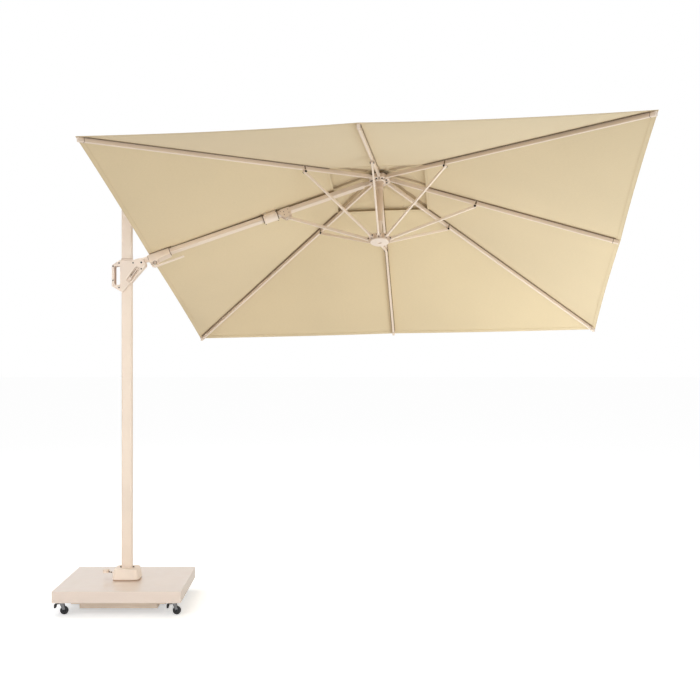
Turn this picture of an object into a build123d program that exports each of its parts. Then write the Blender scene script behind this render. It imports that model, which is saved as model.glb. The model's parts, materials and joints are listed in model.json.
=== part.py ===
import os
from math import acos, atan2, cos, degrees, hypot, radians, sin, sqrt, tan

from build123d import *

# Cantilever parasol, millimetres, +Z up. The origin is on the mast axis at floor level,
# +X runs from the mast towards the canopy. The canopy is modelled open and tilted to one side.

# fits
run_gap = 0.3  # between pieces that move past each other
pin_gap = 0.08  # radial, round a hinge pin

# base
slab_side = 800.0
slab_thickness = 72.0
slab_underside = 83.0  # above the floor
cover_wall = 4.0
slab_corner = 4.0
tray_width = 490.0
tray_depth = 640.0
tray_drop = 50.0
tray_wall = 3.0
arm_width = 40.0
arm_height = 24.0
arm_reach = 53.0  # beyond the tray's side
wheel_radius = 26.0
wheel_width = 18.0
wheel_trail = 17.0
caster_place = 352.0  # swivel axis from the mast axis, both ways
caster_plate_thickness = 3.0
axle_radius = 4.0

# foot
ring_side = 168.0
ring_thickness = 8.0
spigot_radius = 30.0
spigot_height = 28.0
foot_bottom = 176.0
foot_top = 152.0
foot_height = 67.0
foot_bolt_radius = 5.0
foot_bolt_place = 42.0

# mast
mast_width = 68.0
mast_depth = 52.0
mast_corner = 8.0
mast_wall = 3.0
mast_top = 2740.0
stay_bolt_radius = 6.0
stay_pivot_height = 2700.0

# slider, placed by the boom's hinge
hinge_x = 98.0
hinge_z = 2222.5
hinge_pin_radius = 6.0
slider_half_depth = 40.0
bush_wall = 2.2
lever_length = 96.0
lever_sunk = -6.0
lever_angle = 54.6

# boom
boom_slope = 18.95
boom_rise = 11.0  # the boom's axis passes this far above its hinge
canopy_reach = 1654.0  # crown centre from the mast axis
boom_width = 42.0
boom_depth = 32.0
boom_wall = 2.5
roll_open = -21.5  # the canopy's tilt about the boom's axis
sleeve_start = 52.0
sleeve_length = 143.0
sleeve_width = 54.0
spindle_radius = 15.0
collar_place = 893.0  # along the boom
collar_length = 92.0
collar_radius = 34.0
journal_radius = 27.0
lug_height = 66.0
stay_bar_thickness = 6.0
stay_bar_depth = 24.0
trigger_width = 18.0

# canopy
canopy_side = 3000.0
canopy_drop = 495.0  # edge below the crown's rib pivots
fabric_rise = 35.5  # the fabric's peak above the rib pivots
fabric_thickness = 1.6
slit_width = 50.0  # round the collar
vent_side = 600.0
vent_cap_side = 760.0
vent_gap = 24.0
closed_angle = 6.5  # ribs to the post when folded

# crown, post and runner
pivot_ring = 55.0
hub_radius = 66.0
hub_height = 28.0
post_radius = 21.5
post_wall = 3.0
post_length = 308.0
runner_ring = 71.0
runner_drop = 430.0
runner_disc_radius = 60.0
rib_pin_radius = 3.0

# ribs and struts
rib_depth = 25.0
rib_width = 15.0
rib_wall = 1.5
tongue_width = 10.4
strut_depth = 17.0
strut_width = 12.0
boom_strut_depth = 20.0
strut_offset = 23.5  # strut pivot below the rib's centre line
boom_strut_offset = 41.0
clip_length = 24.0
mid_strut_seat = 600.0  # along a mid rib from its pivot

# worked out
slab_top = slab_underside + slab_thickness
foot_seat = slab_top + ring_thickness
mast_foot = foot_seat + spigot_height + 4
mid_slope = degrees(atan2(canopy_drop + fabric_rise, canopy_side / 2))
corner_slope = degrees(atan2(canopy_drop + fabric_rise, canopy_side / sqrt(2)))
along = Vector(cos(radians(boom_slope)), 0, sin(radians(boom_slope)))
above = Vector(-sin(radians(boom_slope)), 0, cos(radians(boom_slope)))
hinge_point = Vector(hinge_x, 0, hinge_z)
boom_root = hinge_point + above * boom_rise
boom_length = (canopy_reach - boom_root.X) / along.X
crown_point = boom_root + along * boom_length
boom_end = boom_length - pivot_ring / along.X  # the crown's hinge on the boom
boom_frame = Plane(origin=boom_root, x_dir=along, z_dir=above)
roll_axis = Axis(boom_root, along)
arms = {
    "right": 0,
    "back_right": 45,
    "back": 90,
    "back_left": 135,
    "boom": 180,
    "front_left": 225,
    "front": 270,
    "front_right": 315,
}
corners = {"front_left": (-1, -1), "front_right": (1, -1), "back_right": (1, 1), "back_left": (-1, 1)}


def slope_of(arm):
    if arm == "boom":
        return boom_slope
    return corner_slope if arms[arm] % 90 else mid_slope


def offset_of(arm):
    return boom_strut_offset if arm == "boom" else strut_offset


def arm_pivot(arm):
    # radius and height of an arm's hinge on the crown
    return pivot_ring, (-pivot_ring * tan(radians(boom_slope)) if arm == "boom" else 0.0)


def strut_seat(arm, distance, slope):
    # radius and height of a strut's upper pivot, with its arm at a slope below level
    radius, height = arm_pivot(arm)
    c, s = cos(radians(slope)), sin(radians(slope))
    offset = offset_of(arm)
    return radius + distance * c - offset * s, height - distance * s - offset * c


def strut_length(arm, distance):
    r, h = strut_seat(arm, distance, slope_of(arm))
    return hypot(r - runner_ring, h + runner_drop)


def closed_runner(arm, distance):
    # how far down the post the runner is when the arm is folded
    r, h = strut_seat(arm, distance, 90 - closed_angle)
    return -(h - sqrt(strut_length(arm, distance) ** 2 - (r - runner_ring) ** 2))


runner_closed = closed_runner("right", mid_strut_seat)
runner_travel = runner_closed - runner_drop


def seat_distance(arm):
    # where a strut meets its arm, so that every arm folds with the same runner travel
    low, high = mid_strut_seat - 150, mid_strut_seat + 150
    for _ in range(60):
        middle = (low + high) / 2
        low, high = (middle, high) if closed_runner(arm, middle) < runner_closed else (low, middle)
    return (low + high) / 2


def turn_of(vector):
    # angle below the outward direction, in an arm's own upright plane
    return degrees(atan2(-vector[1], vector[0]))


def strut_turns(arm):
    # a strut's direction when open and when closed
    distance = seat_distance(arm)
    turns = []
    for slope, drop in ((slope_of(arm), runner_drop), (90 - closed_angle, runner_closed)):
        r, h = strut_seat(arm, distance, slope)
        turns.append(turn_of((runner_ring - r, -drop - h)))
    return turns


# the stay from the mast head to the boom's collar, and the slider's travel that folds the boom
lug_x, lug_z = collar_place, lug_height + boom_rise


def lug_place(angle, hinge_height):
    c, s = cos(radians(angle)), sin(radians(angle))
    return hinge_x + lug_x * c - lug_z * s, hinge_height + lug_x * s + lug_z * c


boom_closed = 90 - closed_angle
lug_open = lug_place(boom_slope, hinge_z)
stay_length = hypot(lug_open[0], lug_open[1] - stay_pivot_height)
lug_low = lug_place(boom_closed, 0)
slider_low = stay_pivot_height - sqrt(stay_length**2 - lug_low[0] ** 2) - lug_low[1]
slider_travel = hinge_z - slider_low
stay_open = degrees(atan2(stay_pivot_height - lug_open[1], lug_open[0]))
stay_closed = degrees(acos(lug_low[0] / stay_length))


def rolled(shape):
    return shape.rotate(roll_axis, roll_open)


def on_boom(shape):
    return boom_frame.location * shape


def at_crown(shape, azimuth=0.0):
    return rolled(Pos(*crown_point) * Rot(0, 0, azimuth) * shape)


def bar(length, width, depth, corner=0.0):
    # runs along X from the origin, rounded along its length
    shape = Pos(length / 2, 0, 0) * Box(length, width, depth)
    return fillet(shape.edges().filter_by(Axis.X), corner) if corner else shape


def tube(length, width, depth, wall, corner):
    inner = Pos(-1, 0, 0) * bar(length + 2, width - 2 * wall, depth - 2 * wall)
    return bar(length, width, depth, corner) - inner


def cross_pin(radius, length):
    # a round bar along Y, centred
    return Rot(90, 0, 0) * Cylinder(radius, length)


def rounded_block(width, depth, height, corner):
    # stands on the origin's level
    sketch = RectangleRounded(width, depth, corner)
    return extrude(sketch, height)


def plate(points, half_depth, shift=0.0):
    # an outline in the XZ plane, thickened along Y
    face = make_face(Polyline(*points, close=True))
    face = Plane.XZ.location * face
    return Pos(0, shift, 0) * extrude(face, half_depth, both=True)


def base_cover():
    shape = Pos(0, 0, slab_underside) * rounded_block(slab_side, slab_side, slab_thickness, slab_corner)
    shape = fillet(shape.edges().group_by(Axis.Z)[-1], 2)
    inner = slab_side - 2 * cover_wall
    depth = slab_thickness - cover_wall
    return shape - Pos(0, 0, slab_underside + depth / 2) * Box(inner, inner, depth)


def base_weight():
    side = slab_side - 2 * cover_wall
    depth = slab_thickness - cover_wall
    return Pos(0, 0, slab_underside + depth / 2) * Box(side, side, depth)


def base_tray():
    floor = slab_underside - tray_drop
    shape = Pos(0, 0, floor) * rounded_block(tray_width, tray_depth, tray_drop, 6)
    inner = Box(tray_width - 2 * tray_wall, tray_depth - 2 * tray_wall, tray_drop)
    return shape - Pos(0, 0, floor + tray_wall + tray_drop / 2) * inner


def base_arms():
    beam = tube(arm_reach, arm_width, arm_height, 3, 2)
    place = Pos(tray_width / 2, tray_depth / 2 - arm_width / 2, slab_underside - arm_height / 2)
    one = place * beam
    pieces = [one, mirror(one, Plane.XZ)]
    return Compound(pieces + [mirror(piece, Plane.YZ) for piece in pieces])


def caster_plate():
    # mounting plate with four screw heads under it
    base = slab_underside - caster_plate_thickness
    shape = Pos(0, 0, base) * rounded_block(62, 62, caster_plate_thickness, 6)
    for x in (-24, 24):
        for y in (-24, 24):
            shape += Pos(x, y, base - 1.4) * Cylinder(4.6, 2.8)
    return [shape]


def caster_fork():
    # swivel cup, two cheeks and the axle, about a swivel axis at the origin
    top = slab_underside - caster_plate_thickness - run_gap
    cup_height = 9.0
    cup = Pos(0, 0, top - cup_height / 2) * Cylinder(19, cup_height)
    cup = fillet(cup.edges().group_by(Axis.Z)[0], 3)
    cheek_inside = wheel_width / 2 + 0.8
    cheek_thickness = 2.6
    low = top - cup_height + 0.5
    outline = [(-13, low), (15, low), (wheel_trail + 8, wheel_radius + 3), (wheel_trail + 4, wheel_radius - 7)]
    outline += [(wheel_trail - 4, wheel_radius - 7), (wheel_trail - 8, wheel_radius + 3)]
    shape = cup
    for side in (-1, 1):
        shift = side * (cheek_inside + cheek_thickness / 2)
        cheek = plate(outline, cheek_thickness / 2, shift)
        shape += fillet(cheek.edges().filter_by(Axis.Y).group_by(Axis.Z)[0], 4)
    wide = 2 * (cheek_inside + cheek_thickness)
    bridge = Pos(1, 0, low - 1.5) * Box(28, wide, 5)
    shape += bridge
    axle = Pos(wheel_trail, 0, wheel_radius) * cross_pin(axle_radius, wide)
    shape -= axle
    for side in (-1, 1):
        axle += Pos(wheel_trail, side * (wide / 2 + 1.5), wheel_radius) * cross_pin(7, 3)
    return [shape, axle]


def caster_wheel():
    tread = cross_pin(wheel_radius, wheel_width)
    tread = fillet(tread.edges().filter_by(GeomType.CIRCLE), 4)
    rim_radius = wheel_radius - 8
    tyre = tread - cross_pin(rim_radius, wheel_width + 2)
    hub = cross_pin(rim_radius, wheel_width - 1)
    dish = cross_pin(rim_radius - 3, 4)
    for side in (-1, 1):
        hub -= Pos(0, side * (wheel_width / 2), 0) * dish
    boss = cross_pin(axle_radius + 4, wheel_width)
    hub = hub + boss - cross_pin(axle_radius + pin_gap, wheel_width + 2)
    place = Pos(wheel_trail, 0, wheel_radius)
    return [place * tyre, place * hub]


brake_x = -16.5
brake_z = slab_underside - 17.0


def caster_brake():
    # a foot lever, hinged on the fork's back edge
    outline = [(0, 3), (-9, 5), (-21, 1), (-27, -9), (-28, -25), (-22, -26), (-20, -11), (-9, -3), (0, -3)]
    shape = plate(outline, 8) + cross_pin(3.2, 16)
    return Pos(brake_x, 0, brake_z) * shape


def at_caster(shapes, corner):
    # the back casters trail the other way
    x, y = corner
    place = Pos(x * caster_place, y * (caster_place - 16), 0) * Rot(0, 0, 0 if y < 0 else 180)
    return Compound([place * shape for shape in shapes])


def foot_ring():
    shape = Pos(0, 0, slab_top) * rounded_block(ring_side, ring_side, ring_thickness, 32)
    shape += Pos(0, 0, foot_seat + spigot_height / 2) * Cylinder(spigot_radius, spigot_height)
    return shape


def foot_housing():
    low = foot_seat + run_gap
    skirt = 8.0
    shape = rounded_block(foot_bottom, foot_bottom, skirt, 36)
    rise = foot_height - skirt
    slant = degrees(atan2((foot_bottom - foot_top) / 2, rise))
    upper = extrude(RectangleRounded(foot_bottom, foot_bottom, 36), rise, taper=slant)
    shape = Pos(0, 0, low) * (shape + Pos(0, 0, skirt) * upper)
    shape = fillet(shape.edges().group_by(Axis.Z)[-1], 9)
    shape -= Pos(0, 0, low) * Cylinder(spigot_radius + pin_gap, 2 * (spigot_height + 0.5))
    socket = rounded_block(mast_width, mast_depth, foot_height, mast_corner)
    shape -= Pos(0, 0, mast_foot) * socket
    shape -= Pos(0, 0, low + foot_height - 3) * (
        rounded_block(mast_width + 14, mast_depth + 14, 5, 12)
        - rounded_block(mast_width + 4, mast_depth + 4, 5, 9)
    )
    top = low + foot_height
    for x in (-1, 1):
        shape -= Pos(x * foot_bolt_place, 0, top - 8) * Cylinder(foot_bolt_radius - 1.5, 24)
        shape -= Pos(x * foot_bolt_place, 0, top) * Cylinder(foot_bolt_radius + 1, 6)
    shape -= pedal_slot()
    return shape


pedal_x = -foot_bottom / 2 + 18
pedal_z = foot_seat + 27


def pedal_slot():
    slot = Pos(pedal_x - 12, 0, pedal_z + 1) * Box(46, 17, 26)
    return slot + Pos(pedal_x, 0, pedal_z) * cross_pin(4, 40)


def foot_fasteners():
    top = foot_seat + run_gap + foot_height
    pieces = []
    for x in (-1, 1):
        bolt = Pos(x * foot_bolt_place, 0, top - 11.5) * Cylinder(foot_bolt_radius - 1.5, 17)
        bolt += Pos(x * foot_bolt_place, 0, top + 1) * Cylinder(foot_bolt_radius, 8)
        bolt -= Pos(x * foot_bolt_place, 0, top + 5) * extrude(RegularPolygon(2.6, 6), -3)
        pieces.append(bolt)
    pieces.append(Pos(pedal_x, 0, pedal_z) * cross_pin(4, 40))
    return Compound(pieces)


def foot_pedal():
    eye = cross_pin(8, 15)
    arm = Rot(0, 12, 0) * Pos(-33, 0, 0) * Box(52, 12, 7)
    pad = Pos(-68, 0, 5) * extrude(RectangleRounded(36, 48, 9), 21)
    pad = fillet(pad.edges().group_by(Axis.Z)[-1], 5)
    shape = eye + arm + pad
    shape -= cross_pin(4 + pin_gap, 40)
    return Pos(pedal_x, 0, pedal_z) * shape


def mast_tube():
    height = mast_top - 18 - mast_foot
    outer = rounded_block(mast_width, mast_depth, height, mast_corner)
    clear = 2 * mast_wall
    inner = rounded_block(mast_width - clear, mast_depth - clear, height, mast_corner - mast_wall)
    shape = Pos(0, 0, mast_foot) * (outer - inner)
    return shape - Pos(0, 0, stay_pivot_height) * cross_pin(stay_bolt_radius, mast_depth + 10)


def mast_head():
    plug_depth = 60.0
    cap = rounded_block(mast_width, mast_depth, 18, mast_corner)
    cap = fillet(cap.edges().group_by(Axis.Z)[-1], 6)
    clear = 2 * mast_wall
    plug = rounded_block(mast_width - clear, mast_depth - clear, plug_depth, mast_corner - mast_wall)
    shape = Pos(0, 0, mast_top - 18) * cap + Pos(0, 0, mast_top - 18 - plug_depth) * plug
    return shape - Pos(0, 0, stay_pivot_height) * cross_pin(stay_bolt_radius, mast_depth + 10)


bar_inside = collar_radius + 4  # the stay's bars pass outside the collar


def stay_bolt():
    bar_outside = bar_inside + stay_bar_thickness
    bolt = cross_pin(stay_bolt_radius, 2 * (bar_outside + 1))
    for side in (-1, 1):
        bolt += Pos(0, side * (bar_outside + run_gap + 3), 0) * cross_pin(11, 6)
    pieces = [bolt]
    for side in (-1, 1):
        length = bar_inside - run_gap - mast_depth / 2
        spacer = cross_pin(12, length) - cross_pin(stay_bolt_radius, length + 2)
        pieces.append(Pos(0, side * (mast_depth / 2 + length / 2), 0) * spacer)
    return Compound([Pos(0, 0, stay_pivot_height) * p for p in pieces])


def stay():
    shape = None
    for side in (-1, 1):
        middle = side * (bar_inside + stay_bar_thickness / 2)
        flat = Pos(0, middle, 0) * bar(stay_length, stay_bar_thickness, stay_bar_depth)
        for x in (0, stay_length):
            flat += Pos(x, middle, 0) * cross_pin(stay_bar_depth / 2 + 3, stay_bar_thickness)
        flat -= Pos(0, middle, 0) * cross_pin(stay_bolt_radius + pin_gap, 40)
        head = side * (bar_inside + stay_bar_thickness + 2.5)
        flat += Pos(stay_length, head, 0) * cross_pin(9, 5)
        shape = flat if shape is None else shape + flat
    turned = Pos(0, 0, stay_pivot_height) * Rot(0, stay_open, 0) * shape
    return turned


# slider outline, clockwise from the handle's upper corner, about the boom's hinge
slider_outline = [
    (-192.4, -17.8),
    (-144.1, 14.8),
    (-56.8, 16.7),
    (-7.0, 30.5),
    (11.0, 27.0),
    (27.0, -8.0),
    (27.0, -22.0),
    (-106.0, -176.7),
    (-120.0, -193.0),
    (-132.0, -189.5),
    (-192.4, -154.7),
]
bush_outer_width = mast_width + 2 * (run_gap + bush_wall)
bush_outer_depth = mast_depth + 2 * (run_gap + bush_wall)


def slider_screws_at():
    # (x, z) from the hinge, shank radius, head radius
    return [
        (-144.7, -3.5, 3.0, 5.0),
        (-53.5, -2.2, 3.0, 5.0),
        (0.0, -41.3, 1.8, 3.2),
        (-144.7, -163.1, 3.0, 5.0),
        (-183.5, -24.3, 1.8, 3.2),
        (-183.5, -116.2, 1.8, 3.2),
    ]


def lever_frame():
    # on the slider's front face, X up the lever's slot, Z out of the face
    direction = Vector(cos(radians(lever_angle)), 0, sin(radians(lever_angle)))
    centre = hinge_point + Vector(-53.2, -slider_half_depth, -78.4)
    return Plane(origin=centre, x_dir=direction, z_dir=(0, -1, 0))


def slider_body():
    face = make_face(Polyline(*slider_outline, close=True))
    face = fillet(face.vertices(), 6)
    outline = Plane.XZ.location * face
    shape = Pos(hinge_x, 0, hinge_z) * extrude(outline, slider_half_depth, both=True)
    rims = shape.edges().filter_by_position(Axis.Y, -slider_half_depth - 1, -slider_half_depth + 0.1)
    shape = fillet(rims, 4)
    rims = shape.edges().filter_by_position(Axis.Y, slider_half_depth - 0.1, slider_half_depth + 1)
    shape = fillet(rims, 4)
    channel = Box(bush_outer_width, bush_outer_depth, 400)
    shape -= Pos(0, 0, hinge_z - 90) * channel
    opening = Plane.XZ.location * RectangleRounded(38, 122, 9)
    handle_x = -mast_width / 2 - 6 - 19
    shape -= Pos(handle_x, 0, hinge_z - 84.5) * extrude(opening, 60, both=True)
    # fork for the boom's knuckle, open upwards and outwards
    fork_half = 23.7 + run_gap
    pocket = cross_pin(25, 2 * fork_half)
    pocket += Pos(8, 0, 40) * Box(84, 2 * fork_half, 80)
    pocket += Pos(25, 0, 8) * Box(50, 2 * fork_half, 66)
    shape -= Pos(hinge_x, 0, hinge_z) * pocket
    shape -= Pos(hinge_x, 0, hinge_z) * cross_pin(hinge_pin_radius, 200)
    for x, z, shank, head in slider_screws_at():
        place = Pos(hinge_x + x, 0, hinge_z + z)
        shape -= place * cross_pin(shank, 200)
        for side in (-1, 1):
            shape -= place * Pos(0, side * slider_half_depth, 0) * cross_pin(head, 5)
    slot = extrude(RectangleRounded(lever_length + 22, 30, 13), -8)
    shape -= lever_frame().location * slot
    return shape


def slider_shell(front):
    side = -1 if front else 1
    half = Pos(20, side * 100, hinge_z - 90) * Box(500, 200, 500)
    return slider_body() & half


def slider_bush():
    low, high = hinge_z - 118.0, hinge_z + 17.6
    inner_width, inner_depth = mast_width + 2 * run_gap, mast_depth + 2 * run_gap
    shape = Pos(0, 0, low) * rounded_block(bush_outer_width, bush_outer_depth, high - low, 0.5)
    shape += Pos(0, 0, high) * rounded_block(bush_outer_width + 4, bush_outer_depth + 4, 5, mast_corner)
    inner = Pos(0, 0, low - 1) * rounded_block(inner_width, inner_depth, 240, mast_corner)
    return shape - inner


def slider_screws():
    pieces = []
    for x, z, shank, head in slider_screws_at():
        screw = cross_pin(shank, 2 * slider_half_depth - 5)
        for side in (-1, 1):
            screw += Pos(0, side * (slider_half_depth - 1.5), 0) * cross_pin(head - 0.4, 2)
        pieces.append(Pos(hinge_x + x, 0, hinge_z + z) * screw)
    pin = cross_pin(hinge_pin_radius, 2 * slider_half_depth + 2)
    pieces.append(Pos(hinge_x, 0, hinge_z) * pin)
    return Compound(pieces)


def slider_lever():
    body = extrude(RectangleRounded(lever_length, 15, 6), 10)
    body = fillet(body.edges().group_by(Axis.Z)[-1], 3)
    grip = Pos(-lever_length / 2 + 14, 0, 0) * extrude(RectangleRounded(26, 22, 8), 6)
    knuckle = Pos(lever_length / 2 - 4, 0, 4.3) * cross_pin(4.5, 25)
    shape = body + grip + knuckle
    return lever_frame().location * Pos(4, 0, lever_sunk) * shape


def knuckle():
    eye = Pos(0, 0, -boom_rise) * cross_pin(24, 47.4)
    neck_radius = 20.0
    neck = Pos(sleeve_start / 2 - 2, 0, 0) * Rot(0, 90, 0) * Cylinder(neck_radius, sleeve_start - 4)
    neck += Pos(sleeve_start - 4.5, 0, 0) * Rot(0, 90, 0) * Cylinder(neck_radius + 3, 8)
    spindle = Pos(sleeve_start + 48, 0, 0) * Rot(0, 90, 0) * Cylinder(spindle_radius, 100)
    shape = eye + neck + spindle
    shape -= Pos(0, 0, -boom_rise) * cross_pin(hinge_pin_radius + pin_gap, 60)
    return on_boom(shape)


def boom_sleeve():
    # housing that turns on the knuckle's spindle and grips the boom
    start, length = sleeve_start, sleeve_length
    high, low_in, low_out = 18.0, -42.0, -27.0
    outline = [(start, high), (start + length, high), (start + length, low_out)]
    outline += [(start + 62, low_in + 6), (start + 50, low_in), (start, low_in)]
    shape = plate(outline, sleeve_width / 2)
    shape = fillet(shape.edges().filter_by(Axis.X), 7)
    shape -= Pos(start + 50.15, 0, 0) * Rot(0, 90, 0) * Cylinder(spindle_radius + pin_gap, 101)
    shape -= Pos(start + 103, 0, 0) * bar(length, boom_width, boom_depth)
    # ears that carry the trigger, and the slot its link works in
    for side in (-1, 1):
        ear = [(start + 1, low_in + 2), (start + 22, low_in + 2)]
        ear += [(start + 17, low_in - 18), (start + 4, low_in - 18)]
        shape += plate(ear, 3.5, side * (trigger_width / 2 + run_gap + 3.5))
    shape -= Pos(start + 48, 0, low_in + 9) * Box(18, 13, 22)
    trigger_pin = Pos(trigger_x, 0, trigger_z) * cross_pin(3.5, 60)
    return rolled(on_boom(shape - trigger_pin))


trigger_x = sleeve_start + 10.5
trigger_z = -53.0


def trigger_pin():
    wide = trigger_width + 2 * (run_gap + 7)
    return rolled(on_boom(Pos(trigger_x, 0, trigger_z) * cross_pin(3.5, wide)))


def trigger():
    eye = cross_pin(6.5, trigger_width)
    outline = [(-6, -2), (5, -3), (14, -12), (212, -8.5), (214, -11), (212, -15), (10, -20), (-3, -10)]
    paddle = plate([(x, z) for x, z in outline], trigger_width / 2)
    paddle = fillet(paddle.edges().filter_by(Axis.Y), 1.5)
    link = Pos(37.5, 0, 3) * Box(9, 11, 34)
    shape = eye + paddle + link - cross_pin(3.5 + pin_gap, 40)
    return rolled(on_boom(Pos(trigger_x, 0, trigger_z) * shape))


def boom_tube():
    start = sleeve_start + 104
    length = boom_end - 62 - start
    return rolled(on_boom(Pos(start, 0, 0) * tube(length, boom_width, boom_depth, boom_wall, 5)))


def boom_tongue():
    # plug in the boom's end with the eye that hinges in the crown
    inner_width, inner_depth = boom_width - 2 * boom_wall, boom_depth - 2 * boom_wall
    plug = Pos(-92, 0, 0) * bar(30, inner_width, inner_depth)
    cap = Pos(-62, 0, 0) * bar(10, boom_width - 2, boom_depth - 2, 4)
    tongue = Pos(-53, 0, 0) * bar(53, 16, 24)
    shape = plug + cap + tongue + cross_pin(12, 16) - cross_pin(5 + pin_gap, 40)
    return rolled(on_boom(Pos(boom_end, 0, 0) * shape))


def boom_journal():
    length = collar_length + 6
    shape = Rot(0, 90, 0) * Cylinder(journal_radius, length)
    for side in (-1, 1):
        shape += Pos(side * (length / 2 + 1.5), 0, 0) * Rot(0, 90, 0) * Cylinder(journal_radius + 4, 3)
    shape -= Pos(-length, 0, 0) * bar(2 * length, boom_width, boom_depth, 5)
    return rolled(on_boom(Pos(collar_place, 0, 0) * shape))


def collar():
    shape = Rot(0, 90, 0) * Cylinder(collar_radius, collar_length)
    shape = fillet(shape.edges().filter_by(GeomType.CIRCLE), 2.5)
    web = Pos(0, 0, (collar_radius + lug_height) / 2 - 4) * Box(44, 14, lug_height - collar_radius + 8)
    boss = Pos(0, 0, lug_height) * cross_pin(10, 2 * (bar_inside - run_gap))
    shape = shape + web + boss
    shape -= Rot(0, 90, 0) * Cylinder(journal_radius + pin_gap, collar_length + 20)
    for x in (-34, 34):
        shape -= Pos(x, -collar_radius + 1, 0) * cross_pin(4, 6)
    return on_boom(Pos(collar_place, 0, 0) * shape)


def boom_strut_bracket():
    seat = seat_distance("boom")
    x = boom_end - seat
    outer = bar(64, boom_width + 6, boom_depth + 6, 4)
    shape = Pos(-32, 0, 0) * (outer - Pos(-5, 0, 0) * bar(80, boom_width, boom_depth, 5))
    top, low = -boom_depth / 2 - 3, -boom_strut_offset
    ear = [(-30, top + 1), (30, top + 1), (9, low - 9), (-9, low - 9)]
    for side in (-1, 1):
        shape += plate(ear, 2.5, side * (strut_width / 2 + 1 + run_gap + 2.5))
    pin_length = 2 * (strut_width / 2 + 1 + run_gap + 5) + 5
    pin = Pos(0, 0, low) * cross_pin(rib_pin_radius + 1, pin_length)
    shape -= pin
    place = Pos(x, 0, 0)
    return Compound([rolled(on_boom(place * s)) for s in (shape, pin)])


def crown_hub():
    shape = Cylinder(hub_radius, hub_height)
    # lobes between the slots
    for azimuth in arms.values():
        lobe = Pos(hub_radius - 8, 0, 0) * Cylinder(13, hub_height)
        shape += Rot(0, 0, azimuth + 22.5) * lobe
    shape = shape & Cylinder(hub_radius + 4, hub_height)
    low = -pivot_ring * tan(radians(boom_slope))
    fork = Pos(53, 0, (hub_height / 2 + low - 15) / 2) * Box(34, 34, hub_height / 2 - low + 15)
    shape += Rot(0, 0, 180) * fork
    for arm, azimuth in arms.items():
        wide = (16 if arm == "boom" else tongue_width) + 2 * run_gap
        slot = Pos(136, 0, -20) * Box(200, wide, 160)
        shape -= Rot(0, 0, azimuth) * slot
        radius, height = arm_pivot(arm)
        pin_radius = 5 if arm == "boom" else rib_pin_radius
        length = 34 if arm == "boom" else 26
        shape -= Rot(0, 0, azimuth) * Pos(radius, 0, height) * cross_pin(pin_radius, length)
    shape -= Cylinder(post_radius - post_wall, 200)
    return at_crown(shape)


def crown_pins():
    pieces = []
    for arm, azimuth in arms.items():
        radius, height = arm_pivot(arm)
        pin_radius = 5 if arm == "boom" else rib_pin_radius
        length = 34 if arm == "boom" else 26
        pieces.append(Rot(0, 0, azimuth) * Pos(radius, 0, height) * cross_pin(pin_radius, length))
    return Compound([at_crown(p) for p in pieces])


def crown_cap():
    top = fabric_rise + vent_gap + 18
    base = hub_height / 2
    shape = Pos(0, 0, base + 3) * Cylinder(hub_radius - 12, 6)
    shape += Pos(0, 0, (base + top) / 2) * Cylinder(8, top - base)
    dome = Pos(0, 0, top - 3) * Cylinder(34, 12)
    dome = fillet(dome.edges().group_by(Axis.Z)[-1], 8)
    return at_crown(shape + dome)


def post():
    top = -hub_height / 2
    outer = Pos(0, 0, (top - post_length) / 2) * Cylinder(post_radius, post_length + top)
    outer += Pos(0, 0, top - 10) * Cylinder(post_radius + 6, 20)
    outer += Pos(0, 0, top - 23) * Cylinder(post_radius + 2.5, 6)
    return at_crown(outer - Cylinder(post_radius - post_wall, 3 * post_length))


def runner():
    disc_top = -runner_drop - 18
    disc_thickness = 9.0
    spigot = post_radius - post_wall - run_gap
    spigot_top = -post_length + 60
    shape = Pos(0, 0, (spigot_top + disc_top) / 2) * Cylinder(spigot, spigot_top - disc_top)
    body_top = disc_top + 42
    shape += Pos(0, 0, (body_top + disc_top) / 2) * Cylinder(46, body_top - disc_top)
    shape += Pos(0, 0, body_top + 6) * Cylinder(26, 12)
    cheek_top, cheek_end = disc_top + 32, runner_ring + 9
    cheek_outline = [(38, disc_top), (runner_disc_radius + 4, disc_top), (cheek_end, -runner_drop - 7)]
    cheek_outline += [(cheek_end, -runner_drop + 6), (cheek_end - 6, cheek_top), (38, cheek_top)]
    half = strut_width / 2 + 0.6
    for azimuth in arms.values():
        for side in (-1, 1):
            cheek = plate(cheek_outline, 1.6, side * (half + 1.6))
            head = Pos(runner_ring, side * (half + 3.2 + 1), -runner_drop) * cross_pin(4, 2)
            shape += Rot(0, 0, azimuth) * (cheek + head)
        shape -= Rot(0, 0, azimuth) * Pos(runner_ring, 0, -runner_drop) * Box(24, 2 * half, 35.8)
    disc = Pos(0, 0, disc_top - disc_thickness / 2) * Cylinder(runner_disc_radius, disc_thickness)
    disc = fillet(disc.edges().group_by(Axis.Z)[0], 4)
    disc -= Pos(0, 0, disc_top - disc_thickness) * Cylinder(14.5, 10)
    return at_crown(shape + disc)


def arm_length(arm):
    reach = canopy_side / 2 if arms[arm] % 90 == 0 else canopy_side / sqrt(2)
    return (reach - 4 - pivot_ring) / cos(radians(slope_of(arm)))


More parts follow.
